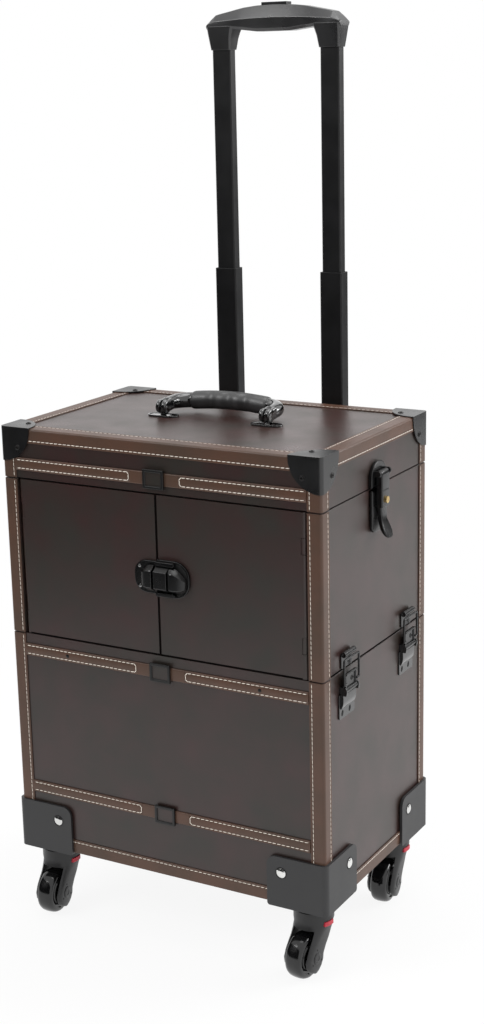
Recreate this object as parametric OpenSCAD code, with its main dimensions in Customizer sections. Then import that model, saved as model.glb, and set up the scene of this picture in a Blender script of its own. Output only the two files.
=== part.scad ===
// Rolling makeup case: two stacked leather covered boxes on four casters, with a lid, double doors,
// a carry handle and a three stage trolley. Millimetres, +Z up, front toward -Y, floor at z = 0.

/* [Case] */
// width of the case over its leather trim
case_w = 370; // [360:1:380]
// depth of the case over its leather trim
case_d = 243; // [236:1:250]
// height of the underside above the floor
base_z = 80; // [79:0.5:82]
// height of the lower box
lower_h = 243; // [230:1:255]
// height of the upper box
upper_h = 168; // [160:1:180]
// height of the lid over its trim
lid_h = 53; // [48:1:60]
// thickness of the covered wall boards
wall_t = 9; // [8:0.5:10]
// thickness of the lid and floor boards
board_t = 8; // [7:0.5:9]
// open line between two stacked boxes
seam_gap = 0.6; // [0.5:0.1:1]
// rounding of the upright board corners
corner_r = 2; // [1.5:0.5:4]

/* [Trim] */
// thickness of the leather trim
trim_t = 1.2; // [1:0.1:1.5]
// width of the corner trim on each face
trim_w = 16; // [14:0.5:17]
// height of the edge trim on the upright faces
edge_h = 15; // [12:0.5:18]
// width of the edge trim on the lid top
edge_w = 18; // [15:0.5:22]
// height of the front straps
strap_h = 13.4; // [12.4:0.1:14.4]
// thickness of the stitched strap halves
strap_t = 2; // [1.8:0.1:2.4]
// thickness of the plain middle of a strap
tongue_t = 1.6; // [1.4:0.1:1.7]
// distance from the middle to a stitched strap end
strap_end = 28.5; // [26:0.5:32]
// height of the lid strap above the lid seam
lid_strap_z = 15.5; // [13:0.5:18]
// drop of the upper strap below the box seam
high_strap_z = 17.5; // [15:0.5:20]
// height of the lower strap above the underside
low_strap_z = 69; // [66:0.5:74]
// width of a strap loop
loop_w = 24; // [22:0.5:26]
// height of a strap loop
loop_h = 19.5; // [18:0.5:20.5]
// thickness of a strap loop
loop_t = 3; // [2.5:0.1:3.5]
// bar width of a strap loop
loop_bar = 3; // [2.5:0.1:3.5]

/* [Lid corner caps] */
// reach of a cap from its corner
cap_r = 35; // [32:0.5:38]
// rounding of a cap's lobe on each face
lobe_r = 34; // [30:0.5:35]
// thickness of a cap
cap_t = 1.2; // [1:0.1:1.6]
// radius of a cap rivet
rivet_r = 3; // [2.5:0.1:3.4]
// height of a cap rivet
rivet_h = 1; // [0.8:0.1:1.2]
// distance of a rivet from the cap's two edges
rivet_in = 20; // [18:0.5:21.5]

/* [Lid hinge] */
// distance of the hinge on the left side from the corner of the case
hinge_in = 31.5; // [24:0.5:40]
// radius of a hinge knuckle
knuckle_r = 3.2; // [3:0.1:3.6]
// radius of the hinge pin
hinge_pin_r = 1.5; // [1.3:0.1:1.7]
// height of a hinge leaf
leaf_h = 16; // [13:0.5:19]
// thickness of a hinge leaf
leaf_t = 1.2; // [1:0.1:1.5]

/* [Doors] */
// open line between the doors
door_gap = 0.8; // [0.6:0.1:1.2]
// radius of the door hinge pins
door_pin_r = 1.5; // [1.3:0.1:1.7]
// height of a door hinge knuckle
door_knuckle_h = 16; // [14:0.5:18]
// distance of a door hinge from the door's end
door_knuckle_z = 34; // [30:1:40]
// length of a pin beyond its knuckle
door_pin_l = 7; // [5:0.5:9]

/* [Door latch] */
// height of the latch above the box seam
door_latch_z = 83; // [75:1:90]
// height of the strike plate on the left door
strike_h = 34; // [32:0.5:36]
// width of the strike plate on the left door
strike_w = 26; // [25:0.5:28]
// thickness of the latch plates
plate_t = 3; // [2.5:0.1:3.5]
// height of the raised strike and of the lever
lever_h = 27; // [25:0.5:28]
// width of the raised strike
strike_cap_w = 15; // [14:0.5:16]
// thickness of the lever and of the raised strike
lever_t = 9; // [8:0.5:10]
// width of the base plate on the right door
latch_base_w = 38; // [37:0.5:42]
// height of the base plate on the right door
latch_base_h = 38; // [37:0.5:42]
// length of the lever
lever_l = 31; // [29:0.5:32]
// radius of the lever pin
lever_pin_r = 1.6; // [1.4:0.1:1.8]
// height of a lever ear
ear_h = 4; // [3.5:0.1:4.5]

/* [Lid latch] */
// width of the plate on the lid
lid_plate_w = 33; // [31:0.5:35]
// height of the plate on the lid
lid_plate_h = 26; // [24:0.5:28]
// thickness of the plate and of the base
lid_plate_t = 6; // [5.5:0.1:6.5]
// height of the lever pin above the lid seam
lid_pin_z = 15; // [13:0.5:16]
// width of the lever
lid_lever_w = 20; // [18:0.5:21]
// thickness of the lever
lid_lever_t = 6; // [5.5:0.1:6.5]
// length of the lever below its pin
lid_lever_l = 50; // [47:0.5:53]
// length of the finger tab
tab_l = 16; // [13:0.5:18]
// width of the base on the upper box
lid_base_w = 30; // [28:0.5:32]
// height of the base on the upper box
lid_base_h = 44; // [40:0.5:48]
// radius of the lock plug
plug_r = 3.5; // [3:0.1:4]
// length of the lock plug
plug_l = 7; // [6.8:0.1:8]
// distance of the lock plug below the lever pin
plug_z = 27.5; // [25:0.5:30]

/* [Draw latches] */
// distance of a draw latch from the corner of the case
draw_in = 50.5; // [45:0.5:56]
// width of a draw latch plate
draw_w = 34; // [32:0.5:36]
// width of a draw latch lever
draw_lever_w = 24; // [22:0.5:25]
// thickness of a draw latch plate
draw_t = 1.5; // [1.2:0.1:1.8]
// distance of a lever pin below the box seam
draw_pin_z = 19; // [18:0.5:20]
// distance of a lever pin from the side
draw_pin_x = 4.9; // [4.7:0.1:5.3]
// radius of a lever pin
draw_pin_r = 1.3; // [1.2:0.1:1.4]
// length of a lever above its pin
draw_lever_l = 17; // [16:0.5:18]
// height of the base plate below the pin
draw_base_h = 30; // [27:0.5:33]
// height of the roll above the box seam
roll_z = 17; // [16:0.5:19]
// radius of the roll
roll_r = 2.8; // [2.6:0.1:3]
// radius of the wire loop
wire_r = 1.2; // [1:0.1:1.3]

/* [Corner brackets] */
// reach of a bracket from the corner
bracket_w = 68; // [64:1:72]
// height of a bracket above the underside
bracket_h = 52; // [48:1:56]
// thickness of a bracket
bracket_t = 3; // [2.5:0.1:3.5]
// rounding of a bracket's upper corners
bracket_r = 10; // [8:0.5:12]
// rounding of a bracket's lower corners
bracket_low_r = 3; // [2:0.5:4]
// radius of a bolt head
bolt_r = 5; // [4.5:0.1:5.5]
// height of a bolt head
bolt_h = 1.6; // [1.4:0.1:2]
// distance of a bolt from the corner
bolt_in = 51.5; // [50:0.5:53]
// height of a bolt above the underside
bolt_z = 35; // [33:0.5:37]

/* [Casters] */
// distance of a caster from the corner
caster_in = 31; // [30:0.5:33]
// radius of a wheel
wheel_r = 24; // [22.5:0.5:24.5]
// width of a wheel
wheel_w = 19; // [18:0.5:20]
// offset of a wheel behind its swivel
trail = 20; // [18:0.5:21]
// radius of the swivel housing
housing_r = 21; // [20:0.5:22]
// height of the swivel housing
housing_h = 17; // [16:0.5:18]
// height of the bracket cone over the swivel
cone_h = 6; // [5.5:0.1:6.5]
// radius of the swivel stem
stem_r = 5; // [4.5:0.1:6]
// radius of the wheel axle
axle_r = 3; // [2.5:0.1:3.5]
// thickness of a fork leg
leg_t = 4; // [3.5:0.1:4.5]
// gap between a wheel and a fork leg
wheel_gap = 3; // [2.5:0.1:3.3]
// radius of the round end of a fork leg
leg_r = 17; // [15:0.5:18]
// width of the release tab
tab_w = 13; // [11:0.5:14]
// height of the release tab
tab_h = 5; // [4:0.1:5.5]
// depth of the release tab's pocket
tab_d = 6; // [5.5:0.1:6.5]
// height of the release tab above the underside of the housing
tab_z = 1.5; // [1:0.1:3]
// reach of the release tab out of the housing
tab_up = 1; // [0.8:0.1:1.4]
// room behind the release tab
tab_free = 2.4; // [2.2:0.1:2.8]
// angle of the release tab from the wheel's way
tab_turn = 80; // [76:1:86]
// way each caster points at rest, left to right and front to back
headings = [-85, -95, -95, -85];

/* [Trolley] */
// distance of a tube from the middle
tube_x = 65; // [62:0.5:68]
// distance of the tubes behind the case
tube_y = 27; // [25:0.5:29]
// width of an outer tube
tube_w = 30; // [29:0.1:31]
// depth of an outer tube
tube_d = 21; // [20:0.1:22]
// wall of a tube
tube_t = 1.6; // [1.4:0.1:1.8]
// running gap between two tubes
tube_gap = 0.4; // [0.3:0.05:0.5]
// chamfer of the tubes
tube_c = 1.5; // [1.2:0.1:2]
// lower end of the outer tubes
outer_z = 100; // [95:1:105]
// upper end of the outer tubes
outer_top = 534; // [528:1:537]
// upper end of the middle tubes
middle_top = 684; // [676:1:692]
// length of a middle tube that stays in its outer tube
middle_in = 112; // [100:1:125]
// upper end of the inner tubes
inner_top = 917; // [905:1:925]
// length of an inner tube that stays in its middle tube
inner_in = 97; // [85:1:110]
// height of the grip
grip_h = 45; // [42:0.5:48]
// half width of the grip
grip_x = 80; // [78:0.5:82]
// half width of the flat part of the grip's arch
grip_arch = 36; // [32:0.5:40]
// depth of the grip
grip_d = 26; // [24:0.5:28]
// height of the opening under the grip
grip_gap = 21; // [20:0.5:23]
// length of the release button
button_l = 30; // [27:0.5:33]
// width of the release button
button_w = 12; // [11:0.5:13]
// height of the release button over the grip
button_up = 2.6; // [2.4:0.1:3]
// height of a trolley mount
mount_h = 26; // [22:0.5:30]
// half width of a trolley mount
mount_x = 86; // [84:0.5:90]
// height of the lower mount above the underside
mount_low = 32; // [28:1:36]
// height of the upper mount above the underside
mount_high = 200; // [190:1:205]

/* [Carry handle] */
// distance of a handle post from the middle
post_x = 62; // [60:0.5:64]
// distance of the posts in front of the middle
post_y = 2; // [0:0.5:4]
// height of the handle pivot above the lid
pivot_up = 9; // [8.6:0.1:10]
// radius of the round end of a handle arm
lug_r = 7; // [6.5:0.1:7.4]
// width of the round end of a handle arm
lug_w = 12.8; // [12:0.2:13.6]
// thickness of a post's upright tab
post_t = 1.6; // [1.4:0.1:2]
// radius of the handle pins
handle_pin_r = 2.5; // [2.2:0.1:2.8]
// length of a post's base plate
foot_l = 36; // [34:0.5:38]
// width of a post's base plate
foot_w = 15; // [14:0.5:16]
// thickness of a post's base plate
foot_t = 1.6; // [1.4:0.1:1.8]
// length of a handle arm before its bend
arm_start = 20; // [18.5:0.5:22]
// bend radius of the handle arms
arm_bend = 16; // [15:0.5:17]
// radius of the handle arms
arm_r = 6.4; // [6:0.1:6.8]
// radius of the rubber grip
rubber_r = 10; // [9.5:0.1:10.5]
// depth of the finger waves
wave = 1.2; // [1:0.1:1.6]
// angle of the folded handle above the lid
fold = 7; // [6:0.5:10]

/* [Fits] */
// running clearance of pins
run = 0.05; // [0.03:0.01:0.08]
// free clearance of moving pieces
free = 0.4; // [0.35:0.05:0.5]

/* [Placing] */
// shift of the case middle from the origin along X
place_x = -4.25; // [-20:0.01:20]
// shift of the case middle from the origin along Y
place_y = -12.64; // [-40:0.01:40]

/* [Hidden] */
$fn = 64;
panel_w = case_w - 2 * trim_t;
panel_d = case_d - 2 * trim_t;
front = -panel_d / 2;
side = panel_w / 2;
lower_top = base_z + lower_h;
upper_z = lower_top + seam_gap;
upper_top = upper_z + upper_h;
lid_z = upper_top + seam_gap;
lid_top = lid_z + lid_h;
room_w = panel_w - 2 * wall_t;
room_d = panel_d - 2 * wall_t;
door_x = case_w / 2 - trim_w - wall_t / 2 - 1.5;
door_y = front + wall_t / 2;
hinge_l = case_d - 2 * hinge_in;
hinge_x = -side - knuckle_r - free;
hinge_z = upper_top + seam_gap / 2;
latch_z = upper_z + door_latch_z;
lever_y = front - plate_t - free - lever_t / 2;
lever_x = door_gap / 2 + free + lever_t / 2;
lid_lever_x = side + lid_plate_t + free + lid_lever_t / 2;
lid_pin = lid_z + lid_pin_z;
draw_pin = lower_top - draw_pin_z;
draw_y = case_d / 2 - draw_in;
draw_hole = 2 * draw_pin_x;
draw_lug_r = draw_pin_r + 1.6;
roll = upper_z + roll_z;
caster_x = case_w / 2 + bracket_t - caster_in;
caster_y = case_d / 2 + bracket_t - caster_in;
bracket_z = base_z - bracket_t;
swivel_z = bracket_z - cone_h;
fork_top = swivel_z - free;
fork_z = fork_top - housing_h;
trolley_y = case_d / 2 + tube_y;
mid_w = tube_w - 2 * (tube_t + tube_gap);
mid_d = tube_d - 2 * (tube_t + tube_gap);
in_w = mid_w - 2 * (tube_t + tube_gap);
in_d = mid_d - 2 * (tube_t + tube_gap);
grip_top = inner_top + grip_h;
middle_l = middle_top - outer_top + middle_in;
inner_l = inner_top - middle_top + inner_in;
pivot_z = lid_top + pivot_up;
bore = run + hinge_pin_r;
step = tube_t + tube_gap;
post_edge = door_x + wall_t / 2 + 0.9;
grip_half = post_x - arm_bend;

leather = [0.23, 0.19, 0.18];
brown = [0.36, 0.25, 0.2];
black = [0.1, 0.1, 0.1];
steel = [0.75, 0.75, 0.75];
brass = [0.8, 0.65, 0.3];
red = [0.75, 0.15, 0.2];
lining = [0.14, 0.13, 0.13];

// every piece is drawn around the case middle and then moved to the shared origin
module piece(c) color(c) translate([place_x, place_y, 0]) children();

// a box given by its middle in X, its low Y, its low Z and its sizes
module block(x, y, z, w, d, h) translate([x - w / 2, y, z]) cube([w, d, h]);

// both sides, and all four corners
module both_x() for (s = [0, 1]) mirror([s, 0, 0]) children();
module both_y() for (s = [0, 1]) mirror([0, s, 0]) children();
module corners() both_x() both_y() children();

// a rod along X or along Y
module rod_x(x, y, z, r, l) translate([x, y, z]) rotate([0, 90, 0]) cylinder(r = r, h = l, center = true);
module rod_y(x, y, z, r, l) translate([x, y, z]) rotate([90, 0, 0]) cylinder(r = r, h = l, center = true);

// the rounded outline of the case
module outline(w, d, r) {
  square([w - 2 * r, d], center = true);
  square([w, d - 2 * r], center = true);
  for (x = [-1, 1], y = [-1, 1]) translate([x * (w / 2 - r), y * (d / 2 - r)]) circle(r);
}

// a rounded block of the case outline, grown by g all around
module hull_block(g, z, h) translate([0, 0, z]) linear_extrude(h)
  outline(panel_w + 2 * g, panel_d + 2 * g, corner_r + g);

// the four boards of a box wall with rounded upright corners
module front_board(z, h) intersection() {
  hull_block(0, z, h);
  block(0, front, z, case_w, wall_t, h);
}
module side_board(z, h) block(side - wall_t / 2, front + wall_t, z, wall_t, room_d, h);

// upright leather trim around the four corners
module corner_trim(z, h) corners() intersection() {
  difference() {
    hull_block(trim_t, z, h);
    hull_block(0, z - 1, h + 2);
  }
  translate([case_w / 2 - trim_w, case_d / 2 - trim_w, z]) cube([trim_w + 1, trim_w + 1, h]);
}

// one strap across the front: two stitched halves and a plain middle
module strap(z) {
  half = case_w / 2 - trim_w - strap_end;
  both_x() block(strap_end + half / 2, front - strap_t, z - strap_h / 2, half, strap_t, strap_h);
  block(0, front - tongue_t, z - strap_h / 2, 2 * strap_end, tongue_t, strap_h);
}

// the loop over the middle of a strap, with a sunk face
module strap_loop(z) difference() {
  block(0, front - tongue_t - loop_t, z - loop_h / 2, loop_w, loop_t, loop_h);
  block(0, front - tongue_t - loop_t - 1, z - loop_h / 2 + loop_bar, loop_w - 2 * loop_bar, loop_t * 0.6 + 1,
        loop_h - 2 * loop_bar);
}

// lower box
module lower_front_panel() piece(leather) front_board(base_z, lower_h);
module lower_back_panel() piece(leather) mirror([0, 1, 0]) front_board(base_z, lower_h);
module lower_side_panels() piece(leather) both_x() side_board(base_z, lower_h);
module lower_floor() piece(lining) block(0, -room_d / 2, base_z, room_w, room_d, board_t);
module lower_trim() piece(brown) {
  corner_trim(base_z, lower_h);
  long = case_w - 2 * trim_w;
  deep = case_d - 2 * trim_w;
  both_y() block(0, front - trim_t, base_z, long, trim_t, edge_h);
  both_x() block(side + trim_t / 2, -deep / 2, base_z, trim_t, deep, edge_h);
}
module lower_straps() piece(brown) {
  strap(lower_top - high_strap_z);
  strap(base_z + low_strap_z);
}
module lower_strap_loops() piece(black) {
  strap_loop(lower_top - high_strap_z);
  strap_loop(base_z + low_strap_z);
}

// one corner bracket: two walls with a rounded upper corner, a foot plate and a cone with the swivel bore
module wheel_bracket() difference() {
  union() {
    intersection() {
      difference() {
        hull_block(trim_t + bracket_t, bracket_z, bracket_h + bracket_t);
        hull_block(trim_t, base_z, bracket_h + 1);
      }
      translate([case_w / 2 + bracket_t - bracket_w, case_d / 2 + bracket_t - bracket_w, bracket_z])
        bracket_shape();
    }
    translate([caster_x, caster_y, swivel_z]) cylinder(r1 = housing_r, r2 = housing_r + 6, h = cone_h + 0.01);
  }
  translate([caster_x, caster_y, swivel_z - 1]) cylinder(r = stem_r + run, h = cone_h + bracket_t + 1 - 0.6);
}

// the outline of a bracket on both faces, rounded at its inner corners
module bracket_shape() intersection() {
  rotate([90, 0, 0]) translate([0, 0, -2 * bracket_w]) linear_extrude(3 * bracket_w) bracket_face();
  rotate([90, 0, 90]) translate([0, 0, -bracket_w]) linear_extrude(3 * bracket_w) bracket_face();
}
module bracket_face() {
  tall = bracket_h + bracket_t;
  translate([0, bracket_low_r]) square([2 * bracket_w, tall - bracket_r - bracket_low_r]);
  translate([bracket_low_r, 0]) square([2 * bracket_w, bracket_r]);
  translate([bracket_r, 0]) square([2 * bracket_w, tall]);
  translate([bracket_low_r, bracket_low_r]) circle(bracket_low_r);
  translate([bracket_r, tall - bracket_r]) circle(bracket_r);
}
module wheel_brackets() piece(black) corners() wheel_bracket();
module bolt_head() {
  cylinder(r = bolt_r, h = bolt_h * 0.5);
  translate([0, 0, bolt_h * 0.5]) cylinder(r1 = bolt_r, r2 = bolt_r * 0.6, h = bolt_h * 0.5);
}
module bracket_bolts() piece(steel) corners() {
  translate([case_w / 2 + bracket_t - bolt_in, case_d / 2 + bracket_t, base_z + bolt_z])
    rotate([-90, 0, 0]) bolt_head();
  translate([case_w / 2 + bracket_t, case_d / 2 + bracket_t - bolt_in, base_z + bolt_z])
    rotate([0, 90, 0]) bolt_head();
}

// draw latches on both sides: base with ears and pin below the seam, hook roll above it
module draw_latch_base() {
  ear_y = draw_lever_w / 2 + free;
  difference() {
    translate([side, -draw_w / 2, draw_pin - draw_base_h]) cube([draw_t, draw_w, draw_base_h + 4]);
    for (y = [-1, 1]) rod_x(side, y * draw_w / 4, draw_pin - draw_base_h + 7, 1.6, draw_hole);
  }
  both_y() translate([side + draw_t - 0.01, ear_y, draw_pin - 4]) cube([draw_pin_x - draw_t, 2, 8]);
  both_y() rod_y(side + draw_pin_x, ear_y + 1, draw_pin, 4, 2);
  rod_y(side + draw_pin_x, 0, draw_pin, draw_pin_r, 2 * ear_y + 1);
}
module both_draws() both_x() for (y = [-1, 1]) translate([0, y * draw_y, 0]) children();
module draw_latch_bases() piece(black) both_draws() draw_latch_base();
module draw_latch_hook() {
  top = roll + roll_r * 0.5;
  difference() {
    translate([side, -draw_lever_w / 2, upper_z + 2]) cube([draw_t, draw_lever_w, top - upper_z - 2]);
    for (y = [-1, 1]) rod_x(side, y * draw_lever_w / 4, upper_z + 7, 1.6, draw_hole);
  }
  rod_y(side + roll_r + draw_t - 0.6, 0, roll, roll_r, draw_lever_w);
}
module draw_latch_hooks() piece(black) both_draws() draw_latch_hook();

// lever with its pin barrel, and the wire loop that reaches up under the roll
module draw_lever(sx, sy) piece(black) mirror([sx, 0, 0]) mirror([0, sy, 0]) translate([0, draw_y, 0]) {
  x = side + draw_pin_x;
  wx = x + 1.8;
  wire_y = draw_lever_w / 2 + free + 2 + free + wire_r;
  wire_low = draw_pin + draw_lug_r + 4;
  wire_top = roll - roll_r - free - wire_r;
  difference() {
    union() {
      rod_y(x, 0, draw_pin, draw_lug_r, draw_lever_w);
      translate([x - 1, -draw_lever_w / 2, draw_pin]) cube([2.6, draw_lever_w, draw_lever_l]);
    }
    rod_y(x, 0, draw_pin, draw_pin_r + run, draw_lever_w + 2);
    for (y = [-1, 1]) rod_x(x, y * draw_lever_w / 4, draw_pin + draw_lever_l - 5, 1.6, draw_hole);
  }
  both_y() translate([wx, wire_y, wire_low]) cylinder(r = wire_r, h = wire_top - wire_low);
  both_y() rod_y(wx, (draw_lever_w / 2 - 1 + wire_y) / 2, wire_low, wire_r, wire_y - draw_lever_w / 2 + 1);
  both_y() translate([wx, wire_y, wire_low]) sphere(wire_r);
  both_y() translate([wx, wire_y, wire_top]) sphere(wire_r);
  rod_y(wx, 0, wire_top, wire_r, 2 * wire_y);
}
module draw_lever_front_left() draw_lever(1, 1);
module draw_lever_front_right() draw_lever(0, 1);
module draw_lever_back_left() draw_lever(1, 0);
module draw_lever_back_right() draw_lever(0, 0);

// casters: fork with stem and axle, wheel, and release tab, each turned to its own heading
module caster(i) {
  sx = i % 2 == 0 ? -1 : 1;
  sy = i < 2 ? -1 : 1;
  translate([sx * caster_x, sy * caster_y, 0]) rotate([0, 0, headings[i]]) children();
}
module fork_leg() {
  gap = wheel_w / 2 + wheel_gap;
  translate([0, gap + leg_t, 0]) rotate([90, 0, 0]) linear_extrude(leg_t) {
    translate([trail, wheel_r]) circle(leg_r);
    polygon([[-4, fork_z + 4], [trail - leg_r * 0.86, wheel_r - leg_r * 0.5],
             [trail + leg_r * 0.98, wheel_r + 2], [14, fork_z + 4]]);
  }
}
module fork(i) piece(black) caster(i) difference() {
  union() {
    translate([0, 0, fork_z]) cylinder(r = housing_r, h = housing_h);
    translate([0, 0, fork_z]) cylinder(r = stem_r, h = housing_h + free + cone_h + bracket_t - 1.2);
    both_y() fork_leg();
    rod_y(trail, 0, wheel_r, axle_r, wheel_w + 2 * wheel_gap + 2 * leg_t);
  }
  tab_space(0, housing_r - tab_d);
}
module tab_space(g, deep) rotate([0, 0, tab_turn])
  translate([deep, -tab_w / 2 - g, fork_z + tab_z - g])
    cube([2 * tab_d, tab_w + 2 * g, tab_h + 2 * g]);
module wheel(i) piece(black) caster(i) translate([trail, 0, wheel_r]) rotate([90, 0, 0]) rotate_extrude() {
  half = wheel_w / 2;
  hub = half + wheel_gap - free;
  polygon([[axle_r + run, -hub], [axle_r + 3, -hub], [axle_r + 3, -half], [wheel_r * 0.62, -half],
           [wheel_r * 0.66, -half + 2],
           [wheel_r * 0.72, -half + 2], [wheel_r * 0.76, -half], [wheel_r - 4, -half],
           [wheel_r - 1, -half + 2], [wheel_r, -half + 5], [wheel_r, half - 5], [wheel_r - 1, half - 2],
           [wheel_r - 4, half], [wheel_r * 0.76, half], [wheel_r * 0.72, half - 2],
           [wheel_r * 0.66, half - 2], [wheel_r * 0.62, half], [axle_r + 3, half], [axle_r + 3, hub],
           [axle_r + run, hub]]);
}
module tab(i) piece(red) caster(i) intersection() {
  tab_space(-0.1, housing_r - tab_d + tab_free);
  translate([0, 0, fork_z]) cylinder(r = housing_r + tab_up, h = housing_h);
}
module fork_front_left() fork(0);
module fork_front_right() fork(1);
module fork_back_left() fork(2);
module fork_back_right() fork(3);
module wheel_front_left() wheel(0);
module wheel_front_right() wheel(1);
module wheel_back_left() wheel(2);
module wheel_back_right() wheel(3);
module tab_front_left() tab(0);
module tab_front_right() tab(1);
module tab_back_left() tab(2);
module tab_back_right() tab(3);

// trolley tubes: outer, middle and inner stage, each a chamfered hollow tube
module tube_outline(w, d, c) polygon([[w / 2 - c, -d / 2], [w / 2, -d / 2 + c], [w / 2, d / 2 - c],
  [w / 2 - c, d / 2], [c - w / 2, d / 2], [-w / 2, d / 2 - c], [-w / 2, c - d / 2], [c - w / 2, -d / 2]]);
module tube(g, z, l) both_x() translate([tube_x, trolley_y, z]) linear_extrude(l) difference() {
  tube_outline(tube_w - 2 * g, tube_d - 2 * g, tube_c);
  tube_outline(tube_w - 2 * (g + tube_t), tube_d - 2 * (g + tube_t), tube_c);
}
module trolley_outer_tubes() piece(black) tube(0, outer_z, outer_top - outer_z);
module trolley_middle_tubes() piece(black) tube(step, middle_top - middle_l, middle_l);
module trolley_inner_tubes() piece(black) tube(2 * step, inner_top - inner_l, inner_l);

// mounts that hold the outer tubes to the back of the lower box
module trolley_mount(z) difference() {
  block(0, panel_d / 2, z, 2 * mount_x, trolley_y + tube_d / 2 + 4 - panel_d / 2, mount_h);
  block(0, panel_d / 2 + 8, z - 1, 2 * tube_x - tube_w - 10, tube_y + tube_d, mount_h + 2);
  both_x() translate([tube_x, trolley_y, z - 1]) linear_extrude(mount_h + 2)
    tube_outline(tube_w + 2 * run, tube_d + 2 * run, tube_c);
}
module trolley_mounts() piece(black) {
  trolley_mount(base_z + mount_low);
  trolley_mount(base_z + mount_high);
}

// moulded grip: an arch on two tapered legs, with a pocket for the release button
module grip_front() {
  leg_in = tube_x - in_w / 2 - 1;
  leg_out = tube_x + in_w / 2 + 1;
  polygon([[leg_in, 0], [leg_out, 0], [grip_x, grip_h * 0.58], [grip_x - 10, grip_h * 0.8],
           [grip_x - 14.5, grip_h * 0.825], [grip_arch, grip_h - 2.2], [grip_arch / 2, grip_h - 0.6],
           [0, grip_h], [-grip_arch / 2, grip_h - 0.6], [-grip_arch, grip_h - 2.2],
           [14.5 - grip_x, grip_h * 0.825],
           [10 - grip_x, grip_h * 0.8], [-grip_x, grip_h * 0.58], [-leg_out, 0], [-leg_in, 0],
           [4 - leg_in, grip_gap - 3], [7 - leg_in, grip_gap], [-20, grip_gap - 3], [20, grip_gap - 3],
           [leg_in - 7, grip_gap], [leg_in - 4, grip_gap - 3]]);
}
module grip_side() {
  leg = in_d / 2 + 1.5;
  polygon([[-leg, 0], [leg, 0], [grip_d / 2, grip_gap + 4], [grip_d / 2, grip_h - 13],
           [grip_d / 2 - 7, grip_h + 1], [7 - grip_d / 2, grip_h + 1], [-grip_d / 2, grip_h - 13],
           [-grip_d / 2, grip_gap + 4]]);
}
module trolley_grip() piece(black) translate([0, trolley_y, inner_top]) {
  difference() {
    intersection() {
      translate([0, grip_d, 0]) rotate([90, 0, 0]) linear_extrude(2 * grip_d) grip_front();
      translate([-grip_x, 0, 0]) rotate([90, 0, 90]) linear_extrude(2 * grip_x) grip_side();
    }
    block(0, -button_w / 2 - free, grip_h - 10, button_l + 2 * free, button_w + 2 * free, 20);
  }
  spigot = 2 * (tube_t + run);
  both_x() translate([tube_x, 0, -10]) linear_extrude(10.01)
    tube_outline(in_w - spigot, in_d - spigot, tube_c);
}
module trolley_button() piece(black) translate([0, trolley_y, inner_top + grip_h - 6])
  block(0, -button_w / 2, 0, button_l, button_w, 6 + button_up);

// upper box
module upper_back_panel() piece(leather) mirror([0, 1, 0]) front_board(upper_z, upper_h);
module upper_side_panels() piece(leather) both_x() side_board(upper_z, upper_h);
module upper_front_posts() piece(leather) both_x() intersection() {
  front_board(upper_z, upper_h);
  translate([post_edge, -case_d, upper_z]) cube([case_w, 2 * case_d, upper_h]);
}
module upper_floor() piece(lining) block(0, front + wall_t + free, upper_z, room_w, room_d - free, board_t);
module upper_trim() piece(brown) corner_trim(upper_z, upper_h);

// doors: a leaf with a half round edge that turns on two short pins held by knuckles on the post
module knuckles(r, h) for (z = [upper_z + door_knuckle_z, upper_top - door_knuckle_z])
  translate([door_x, door_y, z]) cylinder(r = r, h = h, center = true);
module door_hinges() piece(black) both_x() {
  knuckles(wall_t / 2 - 0.3, door_knuckle_h);
  knuckles(door_pin_r, door_knuckle_h + 2 * door_pin_l);
  for (z = [upper_z + door_knuckle_z, upper_top - door_knuckle_z])
    translate([door_x, door_y + 1.2, z - door_knuckle_h / 2]) cube([post_edge - door_x, 3, door_knuckle_h]);
}
module door_leaf() difference() {
  union() {
    translate([door_gap / 2, front, upper_z + free])
      cube([door_x - door_gap / 2, wall_t, upper_h - 2 * free]);
    translate([door_x, door_y, upper_z + free]) cylinder(r = wall_t / 2, h = upper_h - 2 * free);
  }
  knuckles(wall_t / 2 + 0.1, door_knuckle_h + 2 * free);
  knuckles(door_pin_r + run, door_knuckle_h + 2 * door_pin_l + 2);
}
module left_door() piece(leather) mirror([1, 0, 0]) door_leaf();
module right_door() piece(leather) door_leaf();

// door latch: strike on the left door, base and lever on the right door
module on_front(y, t) translate([0, y, latch_z]) rotate([90, 0, 0]) linear_extrude(t) children();
module round_end(w, h) intersection() {
  union() {
    translate([w - h / 2, 0]) circle(h / 2);
    translate([-h, -h / 2]) square([w + h / 2, h]);
  }
  translate([door_gap / 2, -h]) square([w, 2 * h]);
}
module door_latch_strike() piece(black) mirror([1, 0, 0]) {
  on_front(front, plate_t) round_end(strike_w, strike_h);
  on_front(front, plate_t + free + lever_t) round_end(strike_cap_w, lever_h);
}
module door_latch_base() piece(black) {
  on_front(front, plate_t) round_end(latch_base_w, latch_base_h);
  for (s = [-1, 1]) translate([0, 0, s * (lever_h / 2 + free + ear_h / 2)]) {
    on_front(front, front - lever_y) translate([lever_x - 3, -ear_h / 2]) square([6, ear_h]);
    translate([lever_x, lever_y, latch_z]) cylinder(r = 3, h = ear_h, center = true);
  }
  translate([lever_x, lever_y, latch_z])
    cylinder(r = lever_pin_r, h = lever_h + 2 * free + ear_h, center = true);
}
module door_latch_lever() piece(black) difference() {
  union() {
    translate([lever_x, lever_y, latch_z]) cylinder(r = lever_t / 2, h = lever_h, center = true);
    on_front(lever_y + lever_t / 2, lever_t) polygon([[lever_x, -lever_h / 2], [lever_l - 8, -lever_h / 2],
      [lever_l, 5 - lever_h / 2], [lever_l, lever_h / 2 - 5], [lever_l - 8, lever_h / 2],
      [lever_x, lever_h / 2]]);
  }
  translate([lever_x, lever_y, latch_z]) cylinder(r = lever_pin_r + run, h = lever_h + 2, center = true);
}

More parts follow.
